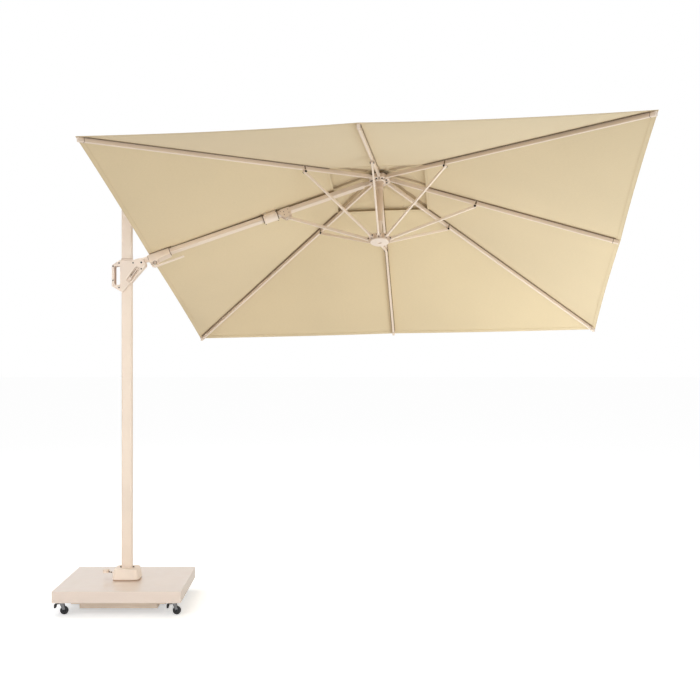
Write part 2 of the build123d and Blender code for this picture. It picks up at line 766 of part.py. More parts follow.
def rib(arm):
    length = arm_length(arm)
    tip = 38.0
    tongue = bar(48, tongue_width, 20) + cross_pin(10, tongue_width)
    tongue -= cross_pin(rib_pin_radius + pin_gap, 40)
    start = 22.0
    inner_width, inner_depth = rib_width - 2 * rib_wall, rib_depth - 2 * rib_wall
    hollow = tube(length - tip - start, rib_width, rib_depth, rib_wall, 3)
    tongue = tongue & Pos(start / 2 - 20, 0, 0) * Box(start + 40, 100, 100)
    plug = Pos(start, 0, 0) * bar(26, inner_width, inner_depth)
    cap = Pos(length - tip, 0, 0) * bar(tip, rib_width + 2, rib_depth + 1, 3.5)
    cap += Pos(length - tip - 20, 0, 0) * bar(21, inner_width, inner_depth)
    seat = seat_distance(arm)
    clip = bar(clip_length, rib_width + 4, rib_depth + 3, 2)
    clip -= Pos(-5, 0, 0) * bar(clip_length + 10, rib_width, rib_depth, 3)
    clip = Pos(seat - clip_length / 2, 0, 0) * clip
    half = strut_width / 2 + run_gap
    for side in (-1, 1):
        ear = [(-9, -rib_depth / 2 - 1), (9, -rib_depth / 2 - 1)]
        ear += [(6, -strut_offset - 7), (-6, -strut_offset - 7)]
        clip += Pos(seat, 0, 0) * plate(ear, 1.6, side * (half + 1.6))
    pin = Pos(seat, 0, -strut_offset) * cross_pin(rib_pin_radius, 2 * (half + 3.2) + 2)
    clip -= pin
    pieces = [tongue + plug, Pos(start, 0, 0) * hollow, cap, clip, pin]
    place = Pos(pivot_ring, 0, 0) * Rot(0, slope_of(arm), 0)
    return Compound([at_crown(place * piece, arms[arm]) for piece in pieces])


def strut(arm):
    distance = seat_distance(arm)
    length = strut_length(arm, distance)
    depth = boom_strut_depth if arm == "boom" else strut_depth
    pin_radius = rib_pin_radius + (1 if arm == "boom" else 0)
    wall = 1.4
    rod = bar(length - 44, strut_width, depth, 3)
    rod -= Pos(-1, 0, 0) * bar(length, strut_width - 2 * wall, depth - 2 * wall)
    pieces = [Pos(22, 0, 0) * rod]
    for end, turn in ((0, 0), (length, 180)):
        eye = cross_pin(depth / 2, strut_width) + bar(22, strut_width, depth)
        eye += Pos(22, 0, 0) * bar(14, strut_width - 2 * wall, depth - 2 * wall)
        eye -= cross_pin(pin_radius + pin_gap, 40)
        pieces.append(Pos(end, 0, 0) * Rot(0, turn, 0) * eye)
    radius, height = strut_seat(arm, distance, slope_of(arm))
    place = Pos(radius, 0, height) * Rot(0, strut_turns(arm)[0], 0)
    return Compound([at_crown(place * piece, arms[arm]) for piece in pieces])


def pyramid(side_low, height_low, side_high, height_high):
    low = Pos(0, 0, height_low) * Rectangle(side_low, side_low)
    high = Pos(0, 0, height_high) * Rectangle(side_high, side_high)
    return loft([low, high], ruled=True)


def fabric_height(half_side):
    return fabric_rise - half_side * tan(radians(mid_slope))


def canopy():
    thick = fabric_thickness / cos(radians(mid_slope))
    low, high = fabric_height(canopy_side / 2), fabric_height(vent_side / 2)
    shape = pyramid(canopy_side, low + thick, vent_side, high + thick)
    shape -= pyramid(canopy_side, low, vent_side, high)
    shape -= Box(vent_side, vent_side, 1000)
    # slit round the collar on the boom
    slit = boom_root + along * collar_place + above * (collar_radius / 2) - crown_point
    shape -= Pos(slit.X, 0, low / 2) * Box(collar_length + 34, slit_width, 600)
    return at_crown(shape)


def vent_cap():
    thick = fabric_thickness / cos(radians(mid_slope))
    low, high = fabric_height(vent_cap_side / 2) + vent_gap, fabric_height(9) + vent_gap
    shape = pyramid(vent_cap_side, low + thick, 18, high + thick) - pyramid(vent_cap_side, low, 18, high)
    return at_crown(shape - Cylinder(8 + run_gap, 400))


def write(name, shape):
    export_step(shape, f"parts/{name}.step")


def build():
    os.makedirs("parts", exist_ok=True)
    write("base_cover", base_cover())
    write("base_weight", base_weight())
    write("base_tray", base_tray())
    write("base_arms", base_arms())
    plates = []
    for corner in corners.values():
        plates += at_caster(caster_plate(), corner).solids()
    write("caster_plates", Compound(plates))
    for name, corner in corners.items():
        write(f"caster_fork_{name}", at_caster(caster_fork(), corner))
        write(f"caster_wheel_{name}", at_caster(caster_wheel(), corner))
        if name.startswith("front"):
            write(f"caster_brake_{name}", at_caster([caster_brake()], corner))
    write("foot_ring", foot_ring())
    write("foot_housing", foot_housing())
    write("foot_fasteners", foot_fasteners())
    write("foot_pedal", foot_pedal())
    write("mast_tube", mast_tube())
    write("mast_head", mast_head())
    write("stay_bolt", stay_bolt())
    write("stay", stay())
    write("slider_front", slider_shell(True))
    write("slider_back", slider_shell(False))
    write("slider_bush", slider_bush())
    write("slider_screws", slider_screws())
    write("slider_lever", slider_lever())
    write("knuckle", knuckle())
    write("boom_sleeve", boom_sleeve())
    write("trigger_pin", trigger_pin())
    write("trigger", trigger())
    write("boom_tube", boom_tube())
    write("boom_tongue", boom_tongue())
    write("boom_journal", boom_journal())
    write("boom_collar", collar())
    write("boom_strut_bracket", boom_strut_bracket())
    write("crown_hub", crown_hub())
    write("crown_pins", crown_pins())
    write("crown_cap", crown_cap())
    write("post", post())
    write("runner", runner())
    write("canopy", canopy())
    write("vent_cap", vent_cap())
    for arm in arms:
        if arm != "boom":
            write(f"rib_{arm}", rib(arm))
        write(f"strut_{arm}", strut(arm))


build()
print(f"slider travel {slider_travel:.1f}, runner travel {runner_travel:.1f}, stay {stay_length:.1f}")
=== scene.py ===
import json
import math

import bmesh
import bpy
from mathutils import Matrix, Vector


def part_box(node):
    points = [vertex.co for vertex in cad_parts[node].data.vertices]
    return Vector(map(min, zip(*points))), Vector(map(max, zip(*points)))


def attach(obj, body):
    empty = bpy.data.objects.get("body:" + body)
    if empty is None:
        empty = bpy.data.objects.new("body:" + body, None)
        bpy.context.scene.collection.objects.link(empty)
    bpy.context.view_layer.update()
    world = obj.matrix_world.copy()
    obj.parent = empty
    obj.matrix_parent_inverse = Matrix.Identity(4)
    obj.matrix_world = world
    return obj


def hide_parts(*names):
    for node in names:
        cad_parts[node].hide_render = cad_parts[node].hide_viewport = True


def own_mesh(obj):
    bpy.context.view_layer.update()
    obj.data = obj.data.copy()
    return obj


# Cantilever parasol, in metres. Hard parts come with the frame and get their finishes here;
# the cloth and the small fittings are made here.

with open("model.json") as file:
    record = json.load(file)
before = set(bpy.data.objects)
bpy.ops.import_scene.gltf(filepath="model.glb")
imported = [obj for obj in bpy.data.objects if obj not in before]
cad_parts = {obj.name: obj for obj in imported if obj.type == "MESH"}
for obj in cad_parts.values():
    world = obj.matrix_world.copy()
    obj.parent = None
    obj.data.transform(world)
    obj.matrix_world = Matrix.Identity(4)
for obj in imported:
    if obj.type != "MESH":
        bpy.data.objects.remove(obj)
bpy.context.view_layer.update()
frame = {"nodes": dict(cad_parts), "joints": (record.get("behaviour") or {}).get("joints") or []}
joints = {joint["name"]: joint for joint in frame["joints"]}
scene = bpy.context.scene
scene.view_settings.view_transform = "Standard"
print("frame loaded", len(frame["nodes"]), "nodes")

ribArms = ["right", "back_right", "back", "back_left", "front_left", "front", "front_right"]
allArms = ["right", "back_right", "back", "back_left", "boom", "front_left", "front", "front_right"]
corners = ["front_left", "front_right", "back_right", "back_left"]


# places read from the frame
def jointPoint(name):
    return Vector(joints[name]["pos_m"])


upward = Vector(joints["runner_slide"]["axis"]).normalized()
crownCentre = (jointPoint("rib_front_fold") + jointPoint("rib_back_fold")) / 2
outwardRight = (jointPoint("rib_right_fold") - crownCentre).normalized()
outwardBack = upward.cross(outwardRight)
boomRoot = jointPoint("boom_roll")
boomAlong = Vector(joints["boom_roll"]["axis"]).normalized()
boomUp = boomAlong.cross(outwardBack)


def onCrown(x, y, z):
    return crownCentre + outwardRight * x + outwardBack * y + upward * z


def armAngle(arm):
    return math.radians(45 * allArms.index(arm))


def carrier(arm):
    return "boom" if arm == "boom" else f"rib_{arm}"


# camera, light and floor
cameraPlace = {"x": 1.2867, "y": -7.3765, "z": 1.6573, "lens": 57.90, "shiftX": 0.03766, "shiftY": -0.00114}
camera = bpy.data.objects.new("camera", bpy.data.cameras.new("camera"))
camera.location = (cameraPlace["x"], cameraPlace["y"], cameraPlace["z"])
camera.rotation_euler = (math.pi / 2, 0, 0)
camera.data.lens = cameraPlace["lens"]
camera.data.sensor_width = 36
camera.data.shift_x = cameraPlace["shiftX"]
camera.data.shift_y = cameraPlace["shiftY"]
camera.data.clip_end = 200
scene.collection.objects.link(camera)
scene.camera = camera

studio = {"worldStrength": 0.56, "floorLift": 0.48, "floorReach": 60}
coolWhite = (0.8, 0.92, 1.0)
palestBlue = (0.9, 0.97, 1.0)
lamps = {
    "keyLight": {"place": (-5.5, -7.0, 5.2), "target": (1.2, 0.0, 1.8), "size": (4.0, 4.0), "power": 140},
    "fillLight": {"place": (6.0, -7.5, 2.2), "target": (1.2, 0.0, 1.8), "size": (4.0, 4.0), "power": 30},
    "topLight": {"place": (-2.2, 3.0, 6.5), "target": (0.2, 0.0, 0.5), "size": (4.0, 4.0), "power": 92},
    "middleLight": {"place": (1.5, -0.5, 0.06), "target": (1.3, 0.0, 2.6), "size": (1.8, 1.8), "power": 8},
    "rightLight": {"place": (5.6, -3.6, 0.7), "target": (3.2, 0.6, 2.7), "size": (2.4, 1.2), "power": 44},
    "baseLight": {"place": (-0.9, -4.4, 0.42), "target": (0.0, -0.2, 0.1), "size": (1.8, 0.7), "power": 1.45},
    "mastLight": {"place": (-2.0, -6.5, 1.3), "target": (0.0, 0.0, 1.7), "size": (0.5, 1.8), "power": 1.8},
    "bounceLight": {"place": (3.2, 0.1, 0.06), "target": (2.7, 0.3, 2.6), "size": (2.4, 2.4), "power": 54},
}
lamps["rightLight"]["colour"] = coolWhite
lamps["bounceLight"]["colour"] = palestBlue
lamps["baseLight"]["spread"] = 42  # degrees
lamps["mastLight"]["spread"] = 24


def softbox(name, settings):
    lamp = bpy.data.lights.new(name, "AREA")
    lamp.shape = "RECTANGLE"
    lamp.size, lamp.size_y = settings["size"]
    lamp.energy = settings["power"]
    lamp.color = settings.get("colour", (1, 1, 1))
    if "spread" in settings:
        lamp.spread = math.radians(settings["spread"])
    holder = bpy.data.objects.new(name, lamp)
    holder.location = settings["place"]
    facing = Vector(settings["target"]) - Vector(settings["place"])
    holder.rotation_euler = facing.to_track_quat("-Z", "Y").to_euler()
    holder.visible_camera = False
    scene.collection.objects.link(holder)


for name, settings in lamps.items():
    softbox(name, settings)


def newNodes(owner):
    owner.use_nodes = True
    owner.node_tree.nodes.clear()
    return owner.node_tree.nodes, owner.node_tree.links


def addNode(nodes, kind, values=None, **choices):
    # values go to the node's inputs, choices to its menus
    node = nodes.new(kind)
    for choice, value in choices.items():
        setattr(node, choice, value)
    for socket, value in (values or {}).items():
        node.inputs[socket].default_value = value
    return node


world = bpy.data.worlds.new("studioAir")
scene.world = world
nodes, links = newNodes(world)
rays = addNode(nodes, "ShaderNodeLightPath")
seen = addNode(nodes, "ShaderNodeMath", operation="MAXIMUM")
links.new(rays.outputs["Is Camera Ray"], seen.inputs[0])
links.new(rays.outputs["Is Glossy Ray"], seen.inputs[1])
strength = addNode(nodes, "ShaderNodeMix", {2: studio["worldStrength"], 3: 1.0})
links.new(seen.outputs[0], strength.inputs["Factor"])
air = addNode(nodes, "ShaderNodeBackground", {"Color": (1, 1, 1, 1)})
links.new(strength.outputs[0], air.inputs["Strength"])
out = addNode(nodes, "ShaderNodeOutputWorld")
links.new(air.outputs[0], out.inputs["Surface"])

floorMesh = bpy.data.meshes.new("floor")
reach = studio["floorReach"]
floorCorners = [(-reach, -reach, 0), (reach, -reach, 0), (reach, reach, 0), (-reach, reach, 0)]
floorMesh.from_pydata(floorCorners, [], [(0, 1, 2, 3)])
floor = bpy.data.objects.new("floor", floorMesh)
scene.collection.objects.link(floor)
paleFloor = bpy.data.materials.new("paleFloor")
nodes, links = newNodes(paleFloor)
rays = addNode(nodes, "ShaderNodeLightPath")
raised = addNode(nodes, "ShaderNodeMath", {1: studio["floorLift"]}, operation="MULTIPLY")
links.new(rays.outputs["Is Camera Ray"], raised.inputs[0])
glow = addNode(nodes, "ShaderNodeEmission")
links.new(raised.outputs[0], glow.inputs["Strength"])
matt = addNode(nodes, "ShaderNodeBsdfDiffuse", {"Color": (0.9, 0.9, 0.9, 1)})
both = addNode(nodes, "ShaderNodeAddShader")
links.new(matt.outputs[0], both.inputs[0])
links.new(glow.outputs[0], both.inputs[1])
out = addNode(nodes, "ShaderNodeOutputMaterial")
links.new(both.outputs[0], out.inputs["Surface"])
floorMesh.materials.append(paleFloor)
print("camera, light and floor")


# finishes
def tone(red, green, blue):
    # a colour as it reads on a screen, 0 to 255, made linear
    def linear(value):
        value /= 255
        return value / 12.92 if value <= 0.04045 else ((value + 0.055) / 1.055) ** 2.4

    return (linear(red), linear(green), linear(blue), 1.0)


def shade(colour, share):
    return (colour[0] * share, colour[1] * share, colour[2] * share, 1.0)


class Finish:
    def __init__(self, name, roughness=0.5, metallic=0.0, coat=0.0, sheen=0.0, specular=0.5):
        self.material = bpy.data.materials.new(name)
        self.nodes, self.links = newNodes(self.material)
        looks = {"Roughness": roughness, "Metallic": metallic, "Coat Weight": coat}
        looks |= {"Sheen Weight": sheen, "Specular IOR Level": specular}
        self.shader = addNode(self.nodes, "ShaderNodeBsdfPrincipled", looks)
        out = addNode(self.nodes, "ShaderNodeOutputMaterial")
        self.links.new(self.shader.outputs[0], out.inputs["Surface"])
        self.place = addNode(self.nodes, "ShaderNodeTexCoord")
        self.lastNormal = None

    def noise(self, scale, detail=3.0, stretch=None, coords="Object"):
        source = self.place.outputs[coords]
        if stretch:
            mapping = addNode(self.nodes, "ShaderNodeMapping", {"Scale": stretch})
            self.links.new(source, mapping.inputs["Vector"])
            source = mapping.outputs[0]
        texture = addNode(self.nodes, "ShaderNodeTexNoise", {"Scale": scale, "Detail": detail})
        self.links.new(source, texture.inputs["Vector"])
        return texture.outputs["Fac"]

    def ramp(self, source, low, high, first, second):
        stops = addNode(self.nodes, "ShaderNodeValToRGB")
        stops.color_ramp.elements[0].position = low
        stops.color_ramp.elements[1].position = high
        stops.color_ramp.elements[0].color = first
        stops.color_ramp.elements[1].color = second
        self.links.new(source, stops.inputs[0])
        return stops.outputs[0]

    def span(self, source, low, high, first, second):
        limits = {"From Min": low, "From Max": high, "To Min": first, "To Max": second}
        remap = addNode(self.nodes, "ShaderNodeMapRange", limits)
        self.links.new(source, remap.inputs["Value"])
        return remap.outputs["Result"]

    def colour(self, source):
        self.links.new(source, self.shader.inputs["Base Color"])

    def rough(self, source):
        self.links.new(source, self.shader.inputs["Roughness"])

    def bump(self, source, distance, strength=1.0):
        node = addNode(self.nodes, "ShaderNodeBump", {"Distance": distance, "Strength": strength})
        self.links.new(source, node.inputs["Height"])
        if self.lastNormal:
            self.links.new(self.lastNormal, node.inputs["Normal"])
        self.lastNormal = node.outputs[0]
        self.links.new(self.lastNormal, self.shader.inputs["Normal"])


def coated(name, colour, roughness=0.42, grain=0.00002, drift=0.06):
    # powder coat: fine orange peel, a slow change of tone and slightly rubbed highs
    paint = Finish(name, roughness, specular=0.4)
    slow = paint.noise(2.2, 2)
    paint.colour(paint.ramp(slow, 0.3, 0.7, shade(colour, 1 - drift), shade(colour, 1 + drift * 0.4)))
    paint.rough(paint.span(paint.noise(60, 4), 0.3, 0.7, roughness - 0.05, roughness + 0.08))
    paint.bump(paint.noise(900, 2), grain)
    return paint.material


def glazed(name, colour):
    # the slab's lacquer: smooth, faintly clouded, with a clear coat that mirrors the foot
    lacquer = Finish(name, 0.38, coat=0.55)
    lacquer.shader.inputs["Coat Roughness"].default_value = 0.16
    clouds = lacquer.noise(3.1, 4)
    lacquer.colour(lacquer.ramp(clouds, 0.3, 0.7, shade(colour, 0.975), shade(colour, 1.01)))
    lacquer.rough(lacquer.span(lacquer.noise(14, 5), 0.3, 0.7, 0.32, 0.46))
    lacquer.bump(lacquer.noise(420, 2), 0.00001)
    return lacquer.material


def moulded(name, colour, roughness=0.5):
    # moulded plastic: a fine even texture
    plastic = Finish(name, roughness, specular=0.45)
    slow = plastic.noise(9, 2)
    plastic.colour(plastic.ramp(slow, 0.3, 0.7, shade(colour, 0.955), shade(colour, 1.02)))
    plastic.rough(plastic.span(plastic.noise(160, 3), 0.3, 0.7, roughness - 0.06, roughness + 0.06))
    plastic.bump(plastic.noise(1500, 2), 0.00004)
    return plastic.material


def metal(name, colour, roughness, brushed=1.0):
    steel = Finish(name, roughness, metallic=1.0)
    streaks = steel.noise(240, 3, (1, 1, brushed))
    steel.colour(steel.ramp(streaks, 0.3, 0.7, shade(colour, 0.8), colour))
    steel.rough(steel.span(streaks, 0.3, 0.7, roughness * 0.8, roughness * 1.3))
    return steel.material


def rubber(name, colour):
    tread = Finish(name, 0.7)
    dust = tread.noise(90, 4)
    tread.colour(tread.ramp(dust, 0.35, 0.75, colour, shade(colour, 2.4)))
    tread.bump(tread.noise(500, 2), 0.0001)
    return tread.material


def cloth(name, colour, slack=1.0):
    # woven polyester: warp and weft threads, slubs, and a slow drift of tone
    weave = Finish(name, 0.82, sheen=0.25, specular=0.25)
    weave.shader.inputs["Sheen Roughness"].default_value = 0.5
    slow = weave.noise(1.1, 3)
    slubs = weave.noise(55, 2, (1, 8, 1), "UV")
    base = weave.ramp(slow, 0.3, 0.72, shade(colour, 0.965), shade(colour, 1.03))
    thread = weave.ramp(slubs, 0.35, 0.7, (0.965, 0.965, 0.96, 1), (1.02, 1.02, 1.02, 1))
    mixed = addNode(weave.nodes, "ShaderNodeMix", {"Factor": 1}, data_type="RGBA", blend_type="MULTIPLY")
    weave.links.new(base, mixed.inputs[6])
    weave.links.new(thread, mixed.inputs[7])
    weave.colour(mixed.outputs[2])
    for direction in ("X", "Y"):
        pitch = {"Scale": 260, "Distortion": 0.4}
        threads = addNode(weave.nodes, "ShaderNodeTexWave", pitch, bands_direction=direction)
        weave.links.new(weave.place.outputs["UV"], threads.inputs["Vector"])
        weave.bump(threads.outputs["Fac"], 0.00008, 0.5)
    weave.bump(weave.noise(3.2, 3), 0.0012 * slack)
    return weave.material


frameCream = tone(242, 224, 206)
clothSand = tone(222, 201, 163)
finishes = {
    "framePaint": coated("framePaint", frameCream),
    "ribPaint": coated("ribPaint", tone(238, 219, 200), 0.38),
    "slabPaint": glazed("slabPaint", tone(236, 218, 204)),
    "trayPaint": coated("trayPaint", tone(238, 217, 196), 0.5),
    # a darker copy of the frame's paint, painted as the shade on the post
    "shadedPostPaint": coated("shadedPostPaint", tone(228, 204, 180), 0.4),
    # a lighter copy of the moulding, painted as extra light on the foot's front and on the hub's ring
    "litMoulding": moulded("litMoulding", tone(248, 231, 214), 0.45),
    # darker cloth, painted as the shade beside the ribs under the vent
    "capShadeTape": cloth("capShadeTape", tone(184, 158, 122), 0.3),
    "moulding": moulded("moulding", tone(240, 222, 205)),
    "hubMoulding": moulded("hubMoulding", tone(232, 212, 192), 0.48),
    # mid brown, painted as the shade on the grip's inner wall and as the shade line on top of the slider's
    # bush
    "gripLiner": moulded("gripLiner", tone(212, 186, 164), 0.6),
    # brown, painted as the shade of the gap under the foot's housing
    "footShadeLip": moulded("footShadeLip", tone(186, 156, 132), 0.6),
    # dark brown: painted shade lines at the collar's ends on the journal and in the gap round the post, and
    # the own colour of the strut clamps and the trigger's spring
    "shadeAndDarkMoulding": moulded("shadeAndDarkMoulding", tone(116, 94, 74), 0.65),
    "shadowLiner": moulded("shadowLiner", tone(150, 124, 104), 0.6),
    "darkSteel": metal("darkSteel", tone(62, 64, 68), 0.42),
    "chrome": metal("chrome", tone(150, 152, 156), 0.16),
    "blackPlastic": moulded("blackPlastic", tone(34, 33, 34), 0.4),
    "screwHead": metal("screwHead", tone(52, 54, 58), 0.45),
    # near black, painted as the shade in the hub's slots
    "slotShade": moulded("slotShade", tone(74, 58, 44), 0.7),
    "tyre": rubber("tyre", tone(38, 38, 40)),
    "concrete": moulded("concrete", tone(176, 172, 166), 0.85),
    "canopyCloth": cloth("canopyCloth", clothSand),
    "ventCloth": cloth("ventCloth", clothSand, 2.0),
    "hemCloth": cloth("hemCloth", shade(clothSand, 0.985), 0.5),
    # dark cloth, painted as the shade beside the ribs and as the boom's shadow on the cloth
    "shadeTapeCloth": cloth("shadeTapeCloth", tone(134, 108, 76), 0.3),
    "thread": coated("thread", tone(212, 191, 154), 0.7),
}
nodeFinish = {
    "slabPaint": ["base_cover"],
    "concrete": ["base_weight"],
    "trayPaint": ["base_tray", "base_arms"],
    "blackPlastic": ["caster_brake_front_left", "caster_brake_front_right"],
    "chrome": ["caster_plates"] + [f"caster_fork_{corner}" for corner in corners],
    "tyre": [f"caster_wheel_{corner}" for corner in corners],
    # the journal is coloured as the painted shade lines at the collar's ends
    "shadeAndDarkMoulding": ["boom_journal"],
    # the foot's ring takes the painted shade of the gap under the housing
    "footShadeLip": ["foot_ring"],
    "litMoulding": ["foot_housing"],
    "moulding": ["runner", "mast_head", "slider_bush", "slider_front", "slider_back", "slider_lever"],
    "darkSteel": ["foot_fasteners", "stay_bolt", "slider_screws", "trigger_pin", "crown_pins"],
    "framePaint": ["foot_pedal", "mast_tube", "stay", "knuckle", "boom_sleeve", "trigger", "boom_collar"],
    "hubMoulding": ["crown_hub", "crown_cap"],
    "shadedPostPaint": ["post"],
    "ribPaint": ["boom_tube", "boom_tongue", "boom_strut_bracket"],
}
nodeFinish["ribPaint"] += [f"rib_{arm}" for arm in ribArms]
nodeFinish["framePaint"] += [f"strut_{arm}" for arm in allArms]
for finish, names in nodeFinish.items():
    for name in names:
        slots = frame["nodes"][name].data.materials
        slots.clear()
        slots.append(finishes[finish])
print("finishes on", sum(len(names) for names in nodeFinish.values()), "nodes")


# small repeated pieces, made by Geometry Nodes
def newTree(name, inputs):
    # inputs are (name, socket type, value)
    tree = bpy.data.node_groups.new(name, "GeometryNodeTree")
    tree.interface.new_socket("Geometry", in_out="INPUT", socket_type="NodeSocketGeometry")
    for label, kind, value in inputs:
        socket = tree.interface.new_socket(label, in_out="INPUT", socket_type=kind)
        if value is not None:
            socket.default_value = value
    tree.interface.new_socket("Geometry", in_out="OUTPUT", socket_type="NodeSocketGeometry")
    start = addNode(tree.nodes, "NodeGroupInput")
    end = addNode(tree.nodes, "NodeGroupOutput")
    return tree, start, end


def facingOf(tree):
    # the direction stored on each point
    kind = "GeometryNodeInputNamedAttribute"
    return addNode(tree.nodes, kind, {"Name": "facing"}, data_type="FLOAT_VECTOR").outputs["Attribute"]


def lineUp(tree, axis, vector, rotation=None, pivot="AUTO"):
    node = addNode(tree.nodes, "FunctionNodeAlignRotationToVector", axis=axis, pivot_axis=pivot)
    tree.links.new(vector, node.inputs["Vector"])
    if rotation:
        tree.links.new(rotation, node.inputs["Rotation"])
    return node.outputs["Rotation"]


def finishTree(tree, start, end, points, instance, rotation):
    place = addNode(tree.nodes, "GeometryNodeInstanceOnPoints")
    real = addNode(tree.nodes, "GeometryNodeRealizeInstances")
    dress = addNode(tree.nodes, "GeometryNodeSetMaterial")
    tree.links.new(points, place.inputs["Points"])
    tree.links.new(instance, place.inputs["Instance"])
    tree.links.new(rotation, place.inputs["Rotation"])
    tree.links.new(place.outputs[0], real.inputs[0])
    tree.links.new(real.outputs[0], dress.inputs["Geometry"])
    tree.links.new(start.outputs["Material"], dress.inputs["Material"])
    tree.links.new(dress.outputs[0], end.inputs[0])


def screwHeadTree():
    # a round head with a sunk middle on every point, turned to the point's own direction
    inputs = [("Radius", "NodeSocketFloat", 0.005), ("Height", "NodeSocketFloat", 0.003)]
    inputs += [("Recess", "NodeSocketFloat", 0.0015), ("Material", "NodeSocketMaterial", None)]
    tree, start, end = newTree("screwHeads", inputs)
    head = addNode(tree.nodes, "GeometryNodeMeshCylinder", {"Vertices": 18})
    tree.links.new(start.outputs["Radius"], head.inputs["Radius"])
    tree.links.new(start.outputs["Height"], head.inputs["Depth"])
    rim = addNode(tree.nodes, "GeometryNodeExtrudeMesh", {"Offset Scale": 0, "Individual": False})
    tree.links.new(head.outputs["Mesh"], rim.inputs["Mesh"])
    tree.links.new(head.outputs["Top"], rim.inputs["Selection"])
    narrow = addNode(tree.nodes, "GeometryNodeScaleElements", {"Scale": 0.55})
    tree.links.new(rim.outputs["Mesh"], narrow.inputs["Geometry"])
    tree.links.new(rim.outputs["Top"], narrow.inputs["Selection"])
    sunk = addNode(tree.nodes, "GeometryNodeExtrudeMesh", {"Individual": False})
    deep = addNode(tree.nodes, "ShaderNodeMath", {1: -1}, operation="MULTIPLY")
    tree.links.new(start.outputs["Recess"], deep.inputs[0])
    tree.links.new(narrow.outputs[0], sunk.inputs["Mesh"])
    tree.links.new(rim.outputs["Top"], sunk.inputs["Selection"])
    tree.links.new(deep.outputs[0], sunk.inputs["Offset Scale"])
    rotation = lineUp(tree, "Z", facingOf(tree))
    finishTree(tree, start, end, start.outputs["Geometry"], sunk.outputs["Mesh"], rotation)
    return tree


def runTree():
    # small blocks at an even pitch along the lines, such as stitches and grip ridges
    inputs = [("Pitch", "NodeSocketFloat", 0.008), ("Size", "NodeSocketVector", (0.005, 0.0012, 0.0008))]
    inputs += [("Material", "NodeSocketMaterial", None)]
    tree, start, end = newTree("evenRun", inputs)
    path = addNode(tree.nodes, "GeometryNodeMeshToCurve")
    tree.links.new(start.outputs["Geometry"], path.inputs["Mesh"])
    spaced = addNode(tree.nodes, "GeometryNodeResampleCurve", mode="LENGTH")
    tree.links.new(path.outputs[0], spaced.inputs["Curve"])
    tree.links.new(start.outputs["Pitch"], spaced.inputs["Length"])
    block = addNode(tree.nodes, "GeometryNodeMeshCube")
    tree.links.new(start.outputs["Size"], block.inputs["Size"])
    tangent = addNode(tree.nodes, "GeometryNodeInputTangent")
    along = lineUp(tree, "X", tangent.outputs[0])
    rotation = lineUp(tree, "Z", facingOf(tree), along, "X")
    finishTree(tree, start, end, spaced.outputs["Curve"], block.outputs["Mesh"], rotation)
    return tree


screwHeads = screwHeadTree()
evenRun = runTree()


def pointsMesh(name, lines, facings):
    # lines are rows of points, each with its own direction, joined end to end
    mesh = bpy.data.meshes.new(name)
    points = [tuple(point) for line in lines for point in line]
    edges = []
    first = 0
    for line in lines:
        edges += [(first + step, first + step + 1) for step in range(len(line) - 1)]
        first += len(line)
    mesh.from_pydata(points, edges, [])
    facing = mesh.attributes.new("facing", "FLOAT_VECTOR", "POINT")
    for value, direction in zip(facing.data, [tuple(d) for row in facings for d in row]):
        value.vector = direction
    return mesh


def finished(piece):
    # the piece's modifiers made part of its mesh
    settled = piece.evaluated_get(bpy.context.evaluated_depsgraph_get())
    mesh = bpy.data.meshes.new_from_object(settled)
    piece.modifiers.clear()
    piece.data = mesh
    return piece


def grown(name, tree, lines, facings, values):
    piece = bpy.data.objects.new(name, pointsMesh(name, lines, facings))
    scene.collection.objects.link(piece)
    made = piece.modifiers.new("grown", "NODES")
    made.node_group = tree
    for socket in tree.interface.items_tree:
        if socket.item_type == "SOCKET" and socket.in_out == "INPUT" and socket.name in values:
            made[socket.identifier] = values[socket.name]
    bpy.context.view_layer.update()
    return finished(piece)


def carried(piece, body):
    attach(piece, body)
    return piece


def screws(name, body, places, facings, radius=0.005, height=0.003, finish="screwHead"):
    values = {"Radius": radius, "Height": height, "Recess": height * 0.5, "Material": finishes[finish]}
    lines = [[place] for place in places]
    piece = grown(name, screwHeads, lines, [[facing] for facing in facings], values)
    return carried(piece, body)


# shapes for the small fittings
def solid(name, points, faces, finish):
    mesh = bpy.data.meshes.new(name)
    mesh.from_pydata([tuple(point) for point in points], [], faces)
    shape = bmesh.new()
    shape.from_mesh(mesh)
    bmesh.ops.remove_doubles(shape, verts=shape.verts, dist=0.00001)
    bmesh.ops.recalc_face_normals(shape, faces=shape.faces)
    shape.to_mesh(mesh)
    shape.free()
    mesh.materials.append(finishes[finish])
    piece = bpy.data.objects.new(name, mesh)
    scene.collection.objects.link(piece)
    return piece


def ringPoints(centre, sideways, upwards, halfWidth, halfDepth, corner, steps=4):
    # a rounded rectangle round a centre
    points = []
    for quarter, (x, y) in enumerate([(1, 1), (-1, 1), (-1, -1), (1, -1)]):
        for step in range(steps + 1):
            turn = math.pi / 2 * (quarter + step / steps)
            across = x * (halfWidth - corner) + corner * math.cos(turn)
            over = y * (halfDepth - corner) + corner * math.sin(turn)
            points.append(centre + sideways * across + upwards * over)
    return points


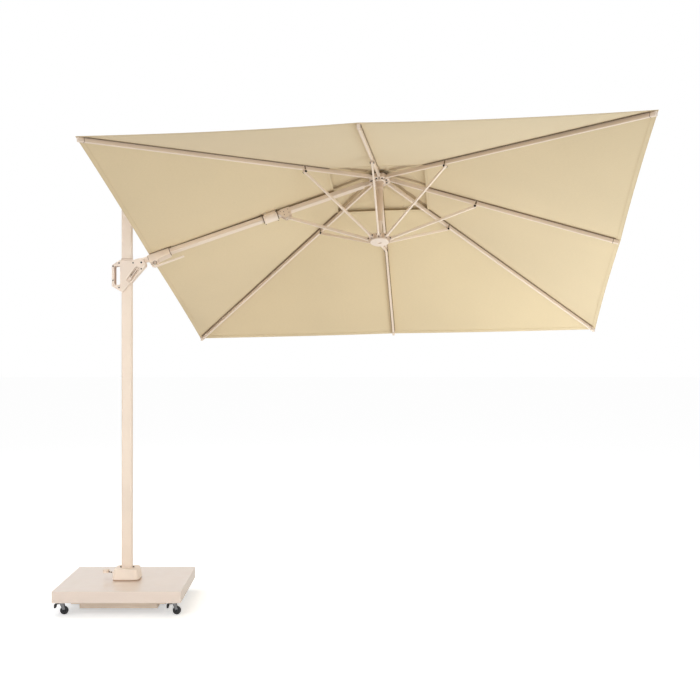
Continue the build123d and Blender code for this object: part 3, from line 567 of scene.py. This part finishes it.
def band(name, centre, along, upwards, size, length, wall, corner, finish, bevel=0.0006):
    # a rounded sleeve round a bar; size is the bar's width and depth
    sideways = upwards.cross(along).normalized()
    halfWidth, halfDepth = size[0] / 2, size[1] / 2
    rings = []
    for shift, grow in ((-0.5, wall - bevel), (-0.5, wall), (0.5, wall), (0.5, wall - bevel)):
        inset = bevel if abs(grow - wall) < 1e-9 else 0
        middle = centre + along * (shift * length - math.copysign(inset, shift))
        rings.append(ringPoints(middle, sideways, upwards, halfWidth + grow, halfDepth + grow, corner + grow))
    for shift in (0.5, -0.5):
        middle = centre + along * (shift * length)
        rings.append(ringPoints(middle, sideways, upwards, halfWidth + 0.0001, halfDepth + 0.0001, corner))
    count = len(rings[0])
    points = [point for ring in rings for point in ring]
    faces = []
    for row in range(len(rings)):
        below = row * count
        above = ((row + 1) % len(rings)) * count
        for step in range(count):
            after = (step + 1) % count
            faces.append((below + step, below + after, above + after, above + step))
    piece = solid(name, points, faces, finish)
    for face in piece.data.polygons:
        face.use_smooth = True
    piece.data.set_sharp_from_angle(angle=math.radians(30))
    return piece


def slabShape(name, outline, middle, across, upwards, facing, thickness, finish, bevel=0.0):
    # a flat plate from an outline of (across, up) points, thickness centred on the middle
    points = []
    for side in (-0.5, 0.5):
        points += [middle + across * x + upwards * y + facing * (side * thickness) for x, y in outline]
    count = len(outline)
    faces = [tuple(range(count)), tuple(range(count, 2 * count))]
    for step in range(count):
        after = (step + 1) % count
        faces.append((step, after, count + after, count + step))
    piece = solid(name, points, faces, finish)
    if bevel:
        soft = piece.modifiers.new("soft", "BEVEL")
        soft.width = bevel
        soft.segments = 2
        bpy.context.view_layer.update()
        finished(piece)
    return piece


def spin(name, profile, centre, axis, finish, steps=40):
    # turned shape: profile is (radius, height) pairs along the axis
    across = axis.orthogonal().normalized()
    other = axis.cross(across)
    points = []
    for radius, height in profile:
        for step in range(steps):
            turn = 2 * math.pi * step / steps
            outward = across * math.cos(turn) + other * math.sin(turn)
            points.append(centre + axis * height + outward * radius)
    faces = []
    for row in range(len(profile)):
        below, above = row * steps, ((row + 1) % len(profile)) * steps
        for step in range(steps):
            after = (step + 1) % steps
            faces.append((below + step, below + after, above + after, above + step))
    piece = solid(name, points, faces, finish)
    for face in piece.data.polygons:
        face.use_smooth = True
    piece.data.set_sharp_from_angle(angle=math.radians(35))
    return piece


# directions of the ribs and the boom
def armLines(arm):
    # an arm's outward, sideways, lengthways and upper directions, with its tip or the boom's root
    turn = armAngle(arm)
    outward = outwardRight * math.cos(turn) + outwardBack * math.sin(turn)
    across = outwardBack * math.cos(turn) - outwardRight * math.sin(turn)
    if arm == "boom":
        return outward, across, -boomAlong, boomUp, boomRoot
    spots = [vertex.co for vertex in frame["nodes"][f"rib_{arm}"].data.vertices]
    reach = max((spot - crownCentre).dot(outward) for spot in spots)
    last = [spot for spot in spots if (spot - crownCentre).dot(outward) > reach - 0.012]
    tip = sum(last, Vector()) / len(last)
    along = (tip - jointPoint(f"rib_{arm}_fold")).normalized()
    over = along.cross(across)
    return outward, across, along, over if over.dot(upward) > 0 else -over, tip


# canopy
canopyCloth = {
    "halfSide": 1.507,
    "ventHalf": 0.3,
    "peak": 0.0355,
    "fall": 0.35367,
    "cornerLow": 0.0045,
    "sag": 0.012,
    "edgeCurve": 0.006,
    "thickness": 0.0012,
    "hemWidth": 0.026,
    "ventHem": 0.018,
    "hemInset": 0.0004,
    "hemThickness": 0.0009,
    "rimSeam": 0.004,
    "hemSeam": 0.003,
    "ventSeam": 0.0145,
    # the tapes are dark cloth, painted as the shade beside the ribs
    "shadeTape": 0.021,
    "narrowShadeTape": 0.0125,
    "shadeTapeStart": 0.002,
    "shadeTapeEnd": 0.03,
    "shadeTapeSeam": 0.0025,
    "shadeTapeThickness": 0.0007,
    "shadowStripStart": 1.36,  # the wider strip at the boom's root
    "shadowStripHalf": 0.034,
    "rows": 44,
    "columns": 24,
    "keep": 0.1,
    "flat": (1.65, 1.65),
}
# how far each layer under the cloth lies from the cloth's surface
layers = {"hem": -0.0012, "hemStitch": -0.0014, "shadeTape": -0.0021, "shadeTapeStitch": -0.0022}
ventCloth = {
    "halfSide": 0.38,
    "start": 0.062,
    "lift": 0.024,
    "hemWidth": 0.018,
    "seam": 0.015,
    "seamLift": 0.0016,
    "shadeTapeStart": 0.075,
    "shadeTapeEnd": 0.022,
    "shadeTapeLift": -0.0014,
    "rows": 30,
    "columns": 32,
    "pucker": 0.011,
    "flat": (0.42, 0.42),
}


def foldDepth(x, y):
    # soft folds that fan out from the middle and die away at the hem, 0 to 1
    turn, reach = math.atan2(y, x), math.hypot(x, y)
    first = (1 - abs(math.sin(turn * 4 + reach * 9))) ** 3
    second = (1 - abs(math.sin(turn * 3 - reach * 13 + 0.7))) ** 4
    fade = max(0.0, 1 - (max(abs(x), abs(y)) / ventCloth["halfSide"]) ** 3)
    return (first * 0.65 + second * 0.5) * fade


def clothHeight(x, y, lift=0.0, folds=0.0):
    reach = max(abs(x), abs(y), 1e-6)
    q = min(abs(x), abs(y)) / reach
    taut = 4 * q * (1 - q)
    height = canopyCloth["peak"] + lift - reach * canopyCloth["fall"]
    height -= canopyCloth["cornerLow"] * q**4
    height -= canopyCloth["sag"] * taut * (reach / canopyCloth["halfSide"]) ** 1.3
    return height - folds * foldDepth(x, y) if folds else height


def clothPoint(arm, reach, side):
    # reach is the distance from the middle out; side runs from -1 to 1, from half way to one
    # neighbouring rib to half way to the other
    turn = armAngle(arm)
    quarter = round(turn / (math.pi / 2) - 0.01) * math.pi / 2
    if allArms.index(arm) % 2 == 0:
        q = side / 2
        x, y = reach, reach * q
        turn = quarter
    else:
        q = 1 - abs(side) / 2
        if side < 0:
            x, y = reach, reach * q
        else:
            x, y = reach * q, reach
        turn -= math.pi / 4
    taut = 4 * abs(q) * (1 - abs(q))
    inward = 1 - canopyCloth["edgeCurve"] * taut * (reach / canopyCloth["halfSide"]) ** 4
    x, y = x * inward, y * inward
    return (
        x * math.cos(turn) - y * math.sin(turn),
        x * math.sin(turn) + y * math.cos(turn),
    )


def clothPetal(name, arm, reaches, columns, lift, finish, folds=0.0):
    # the part of the cloth that one rib carries
    mesh = bpy.data.meshes.new(name)
    shape = bmesh.new()
    grid = []
    flat = {}
    for reach in reaches:
        row = []
        for column in range(columns + 1):
            side = -1 + 2 * column / columns
            x, y = clothPoint(arm, reach, side)
            height = clothHeight(x, y, lift, folds)
            vertex = shape.verts.new(onCrown(x, y, height))
            flat[vertex] = (x, y)
            row.append(vertex)
        grid.append(row)
    cloth = shape.loops.layers.uv.new("cloth")
    for near, far in zip(grid, grid[1:]):
        for column in range(columns):
            face = shape.faces.new((near[column], far[column], far[column + 1], near[column + 1]))
            face.smooth = True
            for loop in face.loops:
                loop[cloth].uv = flat[loop.vert]
    shape.normal_update()
    shape.to_mesh(mesh)
    shape.free()
    mesh.materials.append(finishes[finish])
    petal = bpy.data.objects.new(name, mesh)
    scene.collection.objects.link(petal)
    return petal


def thicken(piece, thickness, offset=1.0):
    wall = piece.modifiers.new("wall", "SOLIDIFY")
    wall.thickness = thickness
    wall.offset = offset
    bpy.context.view_layer.update()
    finished(piece)
    piece.data.set_sharp_from_angle(angle=math.radians(35))
    return piece


def cutOpening(piece, low, high, half):
    # cuts a rectangle through the boom's petal, from low to high out along the boom
    shape = bmesh.new()
    shape.from_mesh(piece.data)
    planes = [
        (onCrown(-low, 0, 0), outwardRight),
        (onCrown(-high, 0, 0), outwardRight),
        (onCrown(0, half, 0), outwardBack),
        (onCrown(0, -half, 0), outwardBack),
    ]
    for point, normal in planes:
        parts = shape.verts[:] + shape.edges[:] + shape.faces[:]
        bmesh.ops.bisect_plane(shape, geom=parts, plane_co=point, plane_no=normal)
    inside = []
    for face in shape.faces:
        middle = face.calc_center_median() - crownCentre
        out = -middle.dot(outwardRight)
        if low < out < high and abs(middle.dot(outwardBack)) < half:
            inside.append(face)
    bmesh.ops.delete(shape, geom=inside, context="FACES")
    shape.to_mesh(piece.data)
    shape.free()


def carryPetal(piece, arm):
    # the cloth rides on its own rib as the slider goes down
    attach(piece, carrier(arm))
    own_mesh(piece)


def spread(low, high, count):
    return [low + (high - low) * step / count for step in range(count + 1)]


def clothLine(arm, places, lift, folds=0.0):
    # points on the cloth's underside; places are (reach, side)
    line = []
    for reach, side in places:
        x, y = clothPoint(arm, reach, side)
        line.append(onCrown(x, y, clothHeight(x, y, lift, folds)))
    return line


def alongRib(arm, low, high, offset, lift, count=40, folds=0.0):
    # a line beside the rib, offset to one side of it
    line = []
    turn = armAngle(arm)
    stretch = math.sqrt(2) if allArms.index(arm) % 2 else 1.0
    for reach in spread(low * stretch, high * stretch, count):
        x = reach * math.cos(turn) - offset * math.sin(turn)
        y = reach * math.sin(turn) + offset * math.cos(turn)
        line.append(onCrown(x, y, clothHeight(x, y, lift, folds)))
    return line


def sheetPatches(name, patches, finish, thickness):
    # strips of cloth between lines of points, joined where they meet, upper side up
    mesh = bpy.data.meshes.new(name)
    points, faces = [], []
    for rows in patches:
        first, count = len(points), len(rows[0])
        points += [tuple(point) for row in rows for point in row]
        for row in range(len(rows) - 1):
            for step in range(count - 1):
                near = first + row * count + step
                faces.append((near, near + 1, near + count + 1, near + count))
    mesh.from_pydata(points, [], faces)
    shape = bmesh.new()
    shape.from_mesh(mesh)
    bmesh.ops.remove_doubles(shape, verts=shape.verts, dist=0.00002)
    shape.to_mesh(mesh)
    shape.free()
    if sum(polygon.normal.dot(upward) for polygon in mesh.polygons) < 0:
        mesh.flip_normals()
    cloth = mesh.uv_layers.new(name="cloth")
    for polygon in mesh.polygons:
        for loop, corner in zip(polygon.loop_indices, polygon.vertices):
            spot = mesh.vertices[corner].co - crownCentre
            cloth.data[loop].uv = (spot.dot(outwardRight), spot.dot(outwardBack))
        polygon.use_smooth = True
    mesh.materials.append(finishes[finish])
    piece = bpy.data.objects.new(name, mesh)
    scene.collection.objects.link(piece)
    return thicken(piece, thickness)


def sheetStrip(name, rows, finish, thickness):
    return sheetPatches(name, [rows], finish, thickness)


def hemLines(arm, reaches, lift, folds=0.0):
    sides = spread(-1, 1, 32)
    return [clothLine(arm, [(reach, side) for side in sides], lift, folds) for reach in reaches]


stitch = {"Pitch": 0.0075, "Size": (0.005, 0.0012, 0.0009), "Material": finishes["thread"]}


def stitched(name, lines):
    return grown(name, evenRun, lines, [[-upward] * len(line) for line in lines], stitch)


collarHood = {
    "radius": 0.0385,
    "low": 0.0255,
    "opening": 34,  # degrees either side of the top, for the stay's lug
    "neck": 0.028,
    "thickness": 0.001,
    "overhang": 0.009,
    "slotHalf": 0.0255,
    "clear": 0.004,
    "tuck": 0.003,
    "flatWidth": 0.09,
}


def onBoom(along, back, up):
    return boomRoot + boomAlong * along + outwardBack * back + boomUp * up


def outFromCrown(point):
    return (crownCentre - point).dot(outwardRight)


def extent(node, axis):
    # a node's lowest and highest reach along an axis, from the boom's root
    reaches = [(vertex.co - boomRoot).dot(axis) for vertex in frame["nodes"][node].data.vertices]
    return min(reaches), max(reaches)


journalLow, journalHigh = extent("boom_journal", boomAlong)
collarMiddle = (journalLow + journalHigh) / 2
collarHalf = (journalHigh - journalLow) / 2 + collarHood["overhang"]
slotHalf = collarHalf - collarHood["tuck"]
collarLow = outFromCrown(onBoom(collarMiddle + slotHalf, 0, collarHood["low"]))
collarHigh = outFromCrown(onBoom(collarMiddle - slotHalf, 0, collarHood["low"]))
hem = canopyCloth["hemWidth"]
vent, edge = canopyCloth["ventHalf"], canopyCloth["halfSide"]


def fromSideToSide(half):
    return [-half, -half / 2, 0, half / 2, half]


def edgeStrips(arm):
    # the hems at the rim and at the vent, with their stitches
    inset = canopyCloth["hemInset"]
    rows = hemLines(arm, [edge - hem, edge - inset], layers["hem"])
    edgeHem = sheetStrip(f"edgeHem_{arm}", rows, "hemCloth", canopyCloth["hemThickness"])
    rows = hemLines(arm, [vent + inset, vent + canopyCloth["ventHem"]], layers["hem"])
    ventHem = sheetStrip(f"ventHem_{arm}", rows, "hemCloth", canopyCloth["hemThickness"])
    seams = [edge - canopyCloth["rimSeam"], edge - hem + canopyCloth["hemSeam"]]
    seams.append(vent + canopyCloth["ventSeam"])
    rows = hemLines(arm, seams, layers["hemStitch"])
    strips = [edgeHem, ventHem, stitched(f"hemStitches_{arm}", rows)]
    for strip in strips:
        carryPetal(strip, arm)
    return strips


def shadeTapes(arm):
    # a dark tape under the cloth along its rib, painted as the shade beside the rib, which stops at the
    # collar's slot on the boom
    half = canopyCloth["narrowShadeTape"] if arm in ("front", "back") else canopyCloth["shadeTape"]
    stretches = [(vent + canopyCloth["shadeTapeStart"], edge - canopyCloth["shadeTapeEnd"])]
    if arm == "boom":
        start, end = stretches[0]
        clear = collarHood["clear"]
        stretches = [(start, collarLow - clear), (collarHigh + clear, end)]
    tapes = []
    for part, (low, high) in enumerate(stretches):
        rows = [alongRib(arm, low, high, offset, layers["shadeTape"]) for offset in fromSideToSide(half)]
        finish = "capShadeTape" if arm == "boom" and part == 0 else "shadeTapeCloth"
        tapes.append(sheetStrip(f"ribShadeTape_{arm}_{part}", rows, finish, canopyCloth["shadeTapeThickness"]))
        seams = (-half + canopyCloth["shadeTapeSeam"], half - canopyCloth["shadeTapeSeam"])
        rows = [alongRib(arm, low, high, offset, layers["shadeTapeStitch"]) for offset in seams]
        tapes.append(stitched(f"shadeTapeStitches_{arm}_{part}", rows))
    if arm == "boom":
        # the wider dark strip at the boom's root, painted as the boom's shadow on the cloth
        low, high = canopyCloth["shadowStripStart"], edge - canopyCloth["rimSeam"]
        offsets = fromSideToSide(canopyCloth["shadowStripHalf"])
        rows = [alongRib(arm, low, high, offset, layers["shadeTape"], 8) for offset in offsets]
        tapes.append(sheetStrip("sleeveShadowStrip", rows, "shadeTapeCloth", canopyCloth["shadeTapeThickness"]))
    for tape in tapes:
        carried(tape, carrier(arm))
    return tapes


for arm in allArms:
    reaches = spread(vent, edge, canopyCloth["rows"])
    petal = clothPetal(f"canopyCloth_{arm}", arm, reaches, canopyCloth["columns"], 0, "canopyCloth")
    if arm == "boom":
        cutOpening(petal, collarLow, collarHigh, collarHood["slotHalf"])
    thicken(petal, canopyCloth["thickness"])
    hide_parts("canopy")
    extras = edgeStrips(arm) + shadeTapes(arm)
    carryPetal(petal, arm)

start, end = ventCloth["start"], ventCloth["halfSide"]
lift, folds = ventCloth["lift"], ventCloth["pucker"]
for arm in allArms:
    reaches = spread(start, end, ventCloth["rows"])
    petal = clothPetal(f"ventCloth_{arm}", arm, reaches, ventCloth["columns"], lift, "ventCloth", folds)
    thicken(petal, canopyCloth["thickness"])
    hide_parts("vent_cap")
    reaches = [end - ventCloth["hemWidth"], end - canopyCloth["hemInset"]]
    rows = hemLines(arm, reaches, lift + layers["hem"], folds)
    capHem = sheetStrip(f"capHem_{arm}", rows, "hemCloth", canopyCloth["hemThickness"])
    rows = hemLines(arm, [end - ventCloth["seam"]], lift + ventCloth["seamLift"], folds)
    capStitches = stitched(f"capStitches_{arm}", rows)
    for extra in (capHem, capStitches):
        carryPetal(extra, arm)
    # a dark tape under the vent's cloth along each rib, painted as the shade beside the rib
    low, high = ventCloth["shadeTapeStart"], end - ventCloth["shadeTapeEnd"]
    offsets = fromSideToSide(canopyCloth["narrowShadeTape"])
    under = lift + ventCloth["shadeTapeLift"]
    rows = [alongRib(arm, low, high, offset, under, 40, folds) for offset in offsets]
    capShadeTape = sheetStrip(f"capShadeTape_{arm}", rows, "capShadeTape", canopyCloth["shadeTapeThickness"])
    carried(capShadeTape, carrier(arm))
    carryPetal(petal, arm)
print("canopy and vent cloth")


# crown patch, and the hood over the collar
crownPatch = {
    "radii": [0.0095, 0.03, 0.045, 0.055, 0.065, 0.075, 0.085, 0.095],
    "seam": 0.091,
    "lift": 0.0026,
    "seamLift": 0.0039,
    "thickness": 0.001,
    "flat": (0.19, 0.19),
}


def circleOnCloth(radius, lift, steps):
    line = []
    for step in range(steps + 1):
        turn = 2 * math.pi * step / steps
        x, y = radius * math.cos(turn), radius * math.sin(turn)
        line.append(onCrown(x, y, clothHeight(x, y, lift, folds)))
    return line


rows = [circleOnCloth(radius, lift + crownPatch["lift"], 96) for radius in crownPatch["radii"]]
patch = sheetStrip("crownPatch", rows, "ventCloth", crownPatch["thickness"])
carried(patch, "crown")
seam = circleOnCloth(crownPatch["seam"], lift + crownPatch["seamLift"], 72)
carried(stitched("patchStitches", [seam]), "crown")


def hoodLine(along, first, last, level=None):
    # an arc over the boom between two angles, 0 at the top, or the flat line below that arc
    line = []
    for step in range(17):
        turn = math.radians(first + (last - first) * step / 16)
        up = collarHood["radius"] * math.cos(turn) if level is None else level
        line.append(onBoom(along, collarHood["radius"] * math.sin(turn), up))
    return line


spanTurn = math.degrees(math.acos(collarHood["low"] / collarHood["radius"]))
neck, opening = collarHood["neck"], collarHood["opening"]
stretches = [
    (-collarHalf, -neck, -spanTurn, spanTurn),
    (neck, collarHalf, -spanTurn, spanTurn),
    (-neck, neck, -spanTurn, -opening),
    (-neck, neck, opening, spanTurn),
]
patches = []
for low, high, first, last in stretches:
    patches.append([hoodLine(collarMiddle + along, first, last) for along in (low, high)])
level = collarHood["low"] - collarHood["tuck"]
for along in (collarMiddle - collarHalf, collarMiddle + collarHalf):
    chord = hoodLine(along, -spanTurn, spanTurn, level)
    patches.append([chord, hoodLine(along, -spanTurn, spanTurn)])
hood = sheetPatches("collarHood", patches, "canopyCloth", collarHood["thickness"])
carried(hood, "boom")
print("patch and hood")


# dark rings painted as a shade line near the rib tips, clamps and pins on the ribs, and the strut pins on the
# boom
tipShadeRing = {"size": (0.017, 0.026), "length": 0.0035, "wall": 0.0007, "corner": 0.003, "finish": "shadowLiner"}
strutClamp = {"size": (0.018, 0.026), "length": 0.011, "wall": 0.0008, "corner": 0.003}
strutClamp["finish"] = "shadeAndDarkMoulding"
ringFromTip = 0.036
strutPins = {"reach": 0.0108, "boomReach": 0.0165, "size": {"radius": 0.0076, "height": 0.004}}
for arm in allArms:
    outward, across, along, over, tip = armLines(arm)
    seat = jointPoint(f"strut_{arm}_fold")
    reach = strutPins["boomReach"]
    if arm != "boom":
        reach = strutPins["reach"]
        ring = band(f"tipShadeRing_{arm}", tip - along * ringFromTip, along, over, **tipShadeRing)
        clampPlace = tip + along * (seat - tip).dot(along)
        clamp = band(f"strutClamp_{arm}", clampPlace, along, over, **strutClamp)
        for piece in (ring, clamp):
            carried(piece, f"rib_{arm}")
    places = [seat + across * reach, seat - across * reach]
    screws(f"strutPins_{arm}", carrier(arm), places, [across, -across], **strutPins["size"])

runnerPins = {"ring": 0.071, "drop": 0.43, "reach": 0.0128, "size": {"radius": 0.0042, "height": 0.003}}
places, facings = [], []
for arm in allArms:
    outward, across = armLines(arm)[:2]
    seat = crownCentre + outward * runnerPins["ring"] - upward * runnerPins["drop"]
    places += [seat + across * runnerPins["reach"], seat - across * runnerPins["reach"]]
    facings += [across, -across]
screws("runnerPins", "runner", places, facings, **runnerPins["size"])

# turned rings of the hub and post; a profile is (radius, height) pairs from the crown's centre
hubRings = {
    # a dark disc in the hub, painted as the shade seen through its slots
    "hubSlotShade": {
        "profile": [
            (0.02, 0.0142), (0.069, 0.0142), (0.069, 0.0185),
            (0.056, 0.0195), (0.0555, 0.0185), (0.02, 0.0185),
        ],
        "finish": "slotShade",
        "slot": "liner",
    },
    "hubShadow": {
        "profile": [
            (0.0218, -0.0138), (0.0284, -0.0138), (0.0284, -0.0222),
            (0.0272, -0.0222), (0.0272, -0.0152), (0.0218, -0.0152),
        ],
        "finish": "shadeAndDarkMoulding",
        "slot": "liner",
    },
    # the hub's ring takes the lighter moulding, painted as light on it
    "hubRing": {
        "profile": [
            (0.0285, -0.014), (0.0368, -0.014), (0.0368, -0.0205), (0.035, -0.0225), (0.0285, -0.0225),
        ],
        "finish": "litMoulding",
        "slot": "moulding",
    },
    "postRing": {
        "profile": [
            (0.0216, -0.062), (0.0238, -0.062), (0.0245, -0.066),
            (0.0245, -0.072), (0.0238, -0.076), (0.0216, -0.076),
        ],
        "finish": "hubMoulding",
        "slot": "moulding",
    },
}
for name, ring in hubRings.items():
    turned = spin(name, ring["profile"], crownCentre, upward, ring["finish"])
    carried(turned, "crown")
hubScrews = {"count": 8, "ring": 0.0485, "drop": 0.0148, "size": {"radius": 0.0058, "height": 0.005}}
places = []
for step in range(hubScrews["count"]):
    turn = 2 * math.pi * (step + 0.5) / hubScrews["count"]
    outward = outwardRight * math.cos(turn) + outwardBack * math.sin(turn)
    places.append(crownCentre + outward * hubScrews["ring"] - upward * hubScrews["drop"])
screws("hubScrews", "crown", places, [-upward] * hubScrews["count"], **hubScrews["size"])
print("rib, runner and hub fittings")

# a dark rim painted as the shade line at the end of the boom's sleeve, a dark ring painted as the shade line
# at the boom's neck, the collar's flanges and the plates of the strut's bracket
sleeveShadeRim = {"length": 0.006, "wall": 0.0016, "corner": 0.004, "finish": "shadowLiner"}
rimFit = {"past": 0.002, "width": 0.046, "play": 0.002}
sleeveLow, sleeveHigh = extent("boom_sleeve", boomAlong)
tubeLow, tubeHigh = extent("boom_tube", boomUp)
middle = onBoom(sleeveHigh + rimFit["past"], 0, (tubeLow + tubeHigh) / 2)
size = (rimFit["width"], tubeHigh - tubeLow + rimFit["play"])
rim = band("sleeveShadeRim", middle, boomAlong, boomUp, size, **sleeveShadeRim)
carried(rim, "boom")
# a dark ring between the slider and the sleeve, painted as the shade line there
neckShadeRing = {
    "before": 0.0024,
    "profile": [
        (0.0152, -0.002), (0.0225, -0.002), (0.0235, -0.001),
        (0.0235, 0.001), (0.0225, 0.002), (0.0152, 0.002),
    ],
}
middle = onBoom(sleeveLow - neckShadeRing["before"], 0, 0)
carried(spin("neckShadeRing", neckShadeRing["profile"], middle, boomAlong, "shadowLiner"), "boom")

collarFlange = {"inner": 0.0332, "outer": 0.0365, "width": 0.007, "edge": 0.001, "fromMiddle": 0.0425}
flangeScrews = {"turns": (-74, 46, 166), "proud": 0.0008, "size": {"radius": 0.0036, "height": 0.0024}}
inner, outer = collarFlange["inner"], collarFlange["outer"]
half, soft = collarFlange["width"] / 2, collarFlange["edge"]
profile = [(inner, -half), (outer - soft, -half), (outer, -half + soft)]
profile += [(outer, half - soft), (outer - soft, half), (inner, half)]
for number, side in enumerate((-1, 1)):
    centre = onBoom(collarMiddle + side * collarFlange["fromMiddle"], 0, 0)
    flange = spin(f"collarFlange_{number}", profile, centre, boomAlong, "framePaint", 56)
    carried(flange, "boom_collar")
    places, facings = [], []
    for degrees in flangeScrews["turns"]:
        turn = math.radians(degrees)
        facing = outwardBack * math.sin(turn) + boomUp * math.cos(turn)
        facings.append(facing)
        places.append(centre + facing * (outer + flangeScrews["proud"]))
    screws(f"flangeScrews_{number}", "boom_collar", places, facings, **flangeScrews["size"])

bracketPlate = {
    "reach": 0.0228,
    "thickness": 0.0026,
    "bevel": 0.0008,
    "outline": [
        (-0.042, 0.053), (0.03, 0.053), (0.037, 0.012),
        (0.014, -0.01), (-0.01, -0.01), (-0.042, 0.026),
    ],
    "screws": [(-0.031, 0.044), (-0.01, 0.034), (0.02, 0.043), (-0.012, 0.012), (0.022, 0.018)],
    "screwLift": 0.002,
    "screwLook": {"radius": 0.003, "height": 0.0022, "finish": "shadowLiner"},
}
seat = jointPoint("strut_boom_fold")
outline, thickness, bevel = (bracketPlate[size] for size in ("outline", "thickness", "bevel"))
for label, facing in (("front", -outwardBack), ("back", outwardBack)):
    middle = seat + facing * bracketPlate["reach"]
    name = f"bracketPlate_{label}"
    plate = slabShape(name, outline, middle, boomAlong, boomUp, facing, thickness, "ribPaint", bevel)
    carried(plate, "boom")
    face = middle + facing * bracketPlate["screwLift"]
    places = [face + boomAlong * x + boomUp * z for x, z in bracketPlate["screws"]]
    facings = [facing] * len(places)
    screws(f"bracketScrews_{label}", "boom", places, facings, **bracketPlate["screwLook"])
print("boom fittings")

# dark strips painted as the shade in the lever's recess, and the lever's screw
towardRight, towardBack, towardTop = Vector((1, 0, 0)), Vector((0, 1, 0)), Vector((0, 0, 1))
towardFront = Vector((0, -1, 0))
leverLow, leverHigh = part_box("slider_lever")
leverFace = Vector(((leverLow[0] + leverHigh[0]) / 2, leverLow[1], (leverLow[2] + leverHigh[2]) / 2))
leverAcross = Vector(joints["slider_lever"]["axis"]).normalized()
leverAlong = leverAcross.cross(towardFront).normalized()
recessShade = {"halfLength": 0.033, "halfWidths": (0.0013, 0.00182), "spacing": 0.005, "thickness": 0.0008}


def plateOutline(halfLength, halfWidth):
    return [(halfLength * x, halfWidth * y) for x, y in [(-1, -1), (1, -1), (1, 1), (-1, 1)]]


# two dark strips on the lever, painted as the shade in its recess
for number, side in enumerate((-1, 1)):
    outline = plateOutline(recessShade["halfLength"], recessShade["halfWidths"][number])
    middle = leverFace + leverAcross * (side * recessShade["spacing"])
    axes = leverAlong, leverAcross, towardFront
    line = slabShape(f"leverShadeLine_{number}", outline, middle, *axes, recessShade["thickness"], "shadowLiner")
    carried(line, "slider_lever")
leverScrew = {"down": 0.015, "across": 0.005, "size": {"radius": 0.0042, "height": 0.002}}
place = leverFace - leverAlong * leverScrew["down"] + leverAcross * leverScrew["across"]
screws("leverScrew", "slider_lever", [place], [towardFront], **leverScrew["size"])

# studs of the slider, a sheet painted as the shade on the grip's inner wall, a band painted as the shade line
# on top of the slider's bush, pins of the pedal and the grip's spring
sliderStuds = {"spots": [(-0.0855, 2.1982), (-0.0855, 2.1063), (0.098, 2.1812)], "reach": 0.0396}
sliderStuds["size"] = {"radius": 0.0044, "height": 0.0022}
places = [Vector((x, side * sliderStuds["reach"], z)) for x, z in sliderStuds["spots"] for side in (-1, 1)]
facings = [towardFront, towardBack] * len(sliderStuds["spots"])
screws("sliderStuds", "slider", places, facings, **sliderStuds["size"])
# a sheet on the grip's inner wall, painted as the shade there
grip = {"wall": -0.0776, "middle": 2.138, "halfHeight": 0.053, "halfDepth": 0.0355, "thickness": 0.001}
outline = plateOutline(grip["halfDepth"], grip["halfHeight"])
place = Vector((grip["wall"], 0, grip["middle"]))
axes = towardBack, towardTop, towardRight
liner = slabShape("gripLiner", outline, place, *axes, grip["thickness"], "gripLiner")
carried(liner, "slider")
# a band on top of the slider's bush, painted as the shade line there
mastShadeBand = {"size": (0.0686, 0.0526), "length": 0.005, "wall": 0.0008, "corner": 0.006}
shadeBandPlace = Vector((0, 0, 2.2475))  # on top of the slider's bush
shadeBand = band("mastShadeBand", shadeBandPlace, towardTop, towardBack, **mastShadeBand, finish="gripLiner")
carried(shadeBand, "slider")
pedalPins = {
    "spots": [(-0.104, -0.0062, 0.1972), (-0.1165, -0.0062, 0.2), (-0.104, 0.0062, 0.1972)],
    "size": {"radius": 0.0042, "height": 0.0024},
}
places = [Vector(spot) for spot in pedalPins["spots"]]
facings = [towardFront if spot.y < 0 else towardBack for spot in places]
screws("pedalPins", "pedal", places, facings, **pedalPins["size"])
wire = {"radius": 0.0016, "ring": 0.0108, "place": (0.187, -0.0375, 2.222), "steps": 10}
profile = []
for step in range(wire["steps"]):
    turn = 2 * math.pi * step / wire["steps"]
    profile.append((wire["ring"] + wire["radius"] * math.cos(turn), wire["radius"] * math.sin(turn)))
loop = spin("triggerSpring", profile, Vector(wire["place"]), towardFront, "shadeAndDarkMoulding")
carried(loop, "boom")

# ridges on the tyres, nuts on the axles and pads on the brakes
tread = {"radius": 0.0256, "ridge": (0.0011, 0.0145, 0.0007), "ridges": 40, "steps": 60}
axleNuts = {"reach": 0.0186, "size": {"radius": 0.0062, "height": 0.004}}
pitch = 2 * math.pi * tread["radius"] / tread["ridges"]
values = {"Pitch": pitch, "Size": tread["ridge"], "Material": finishes["tyre"]}
for corner in corners:
    axle = jointPoint(f"{corner}_roll")
    turns = [2 * math.pi * step / tread["steps"] for step in range(tread["steps"] + 1)]
    away = [Vector((math.cos(turn), 0, math.sin(turn))) for turn in turns]
    circle = [axle + direction * tread["radius"] for direction in away]
    ridges = grown(f"tread_{corner}", evenRun, [circle], [away], values)
    carried(ridges, f"caster_wheel_{corner}")
    sides = [towardFront, towardBack]
    places = [axle + side * axleNuts["reach"] for side in sides]
    screws(f"axleNuts_{corner}", f"caster_fork_{corner}", places, sides, **axleNuts["size"])
brakePad = {
    "width": 0.024,
    "bevel": 0.002,
    "outline": [(-0.03, -0.004), (-0.018, 0.003), (-0.012, -0.002), (-0.018, -0.026), (-0.03, -0.028)],
}
axes = towardRight, towardTop, towardFront
outline, width, bevel = brakePad["outline"], brakePad["width"], brakePad["bevel"]
for corner in ("front_left", "front_right"):
    pivot = jointPoint(f"{corner}_brake")
    pad = slabShape(f"brakePad_{corner}", outline, pivot, *axes, width, "blackPlastic", bevel)
    carried(pad, f"caster_brake_{corner}")
print("slider and caster fittings")
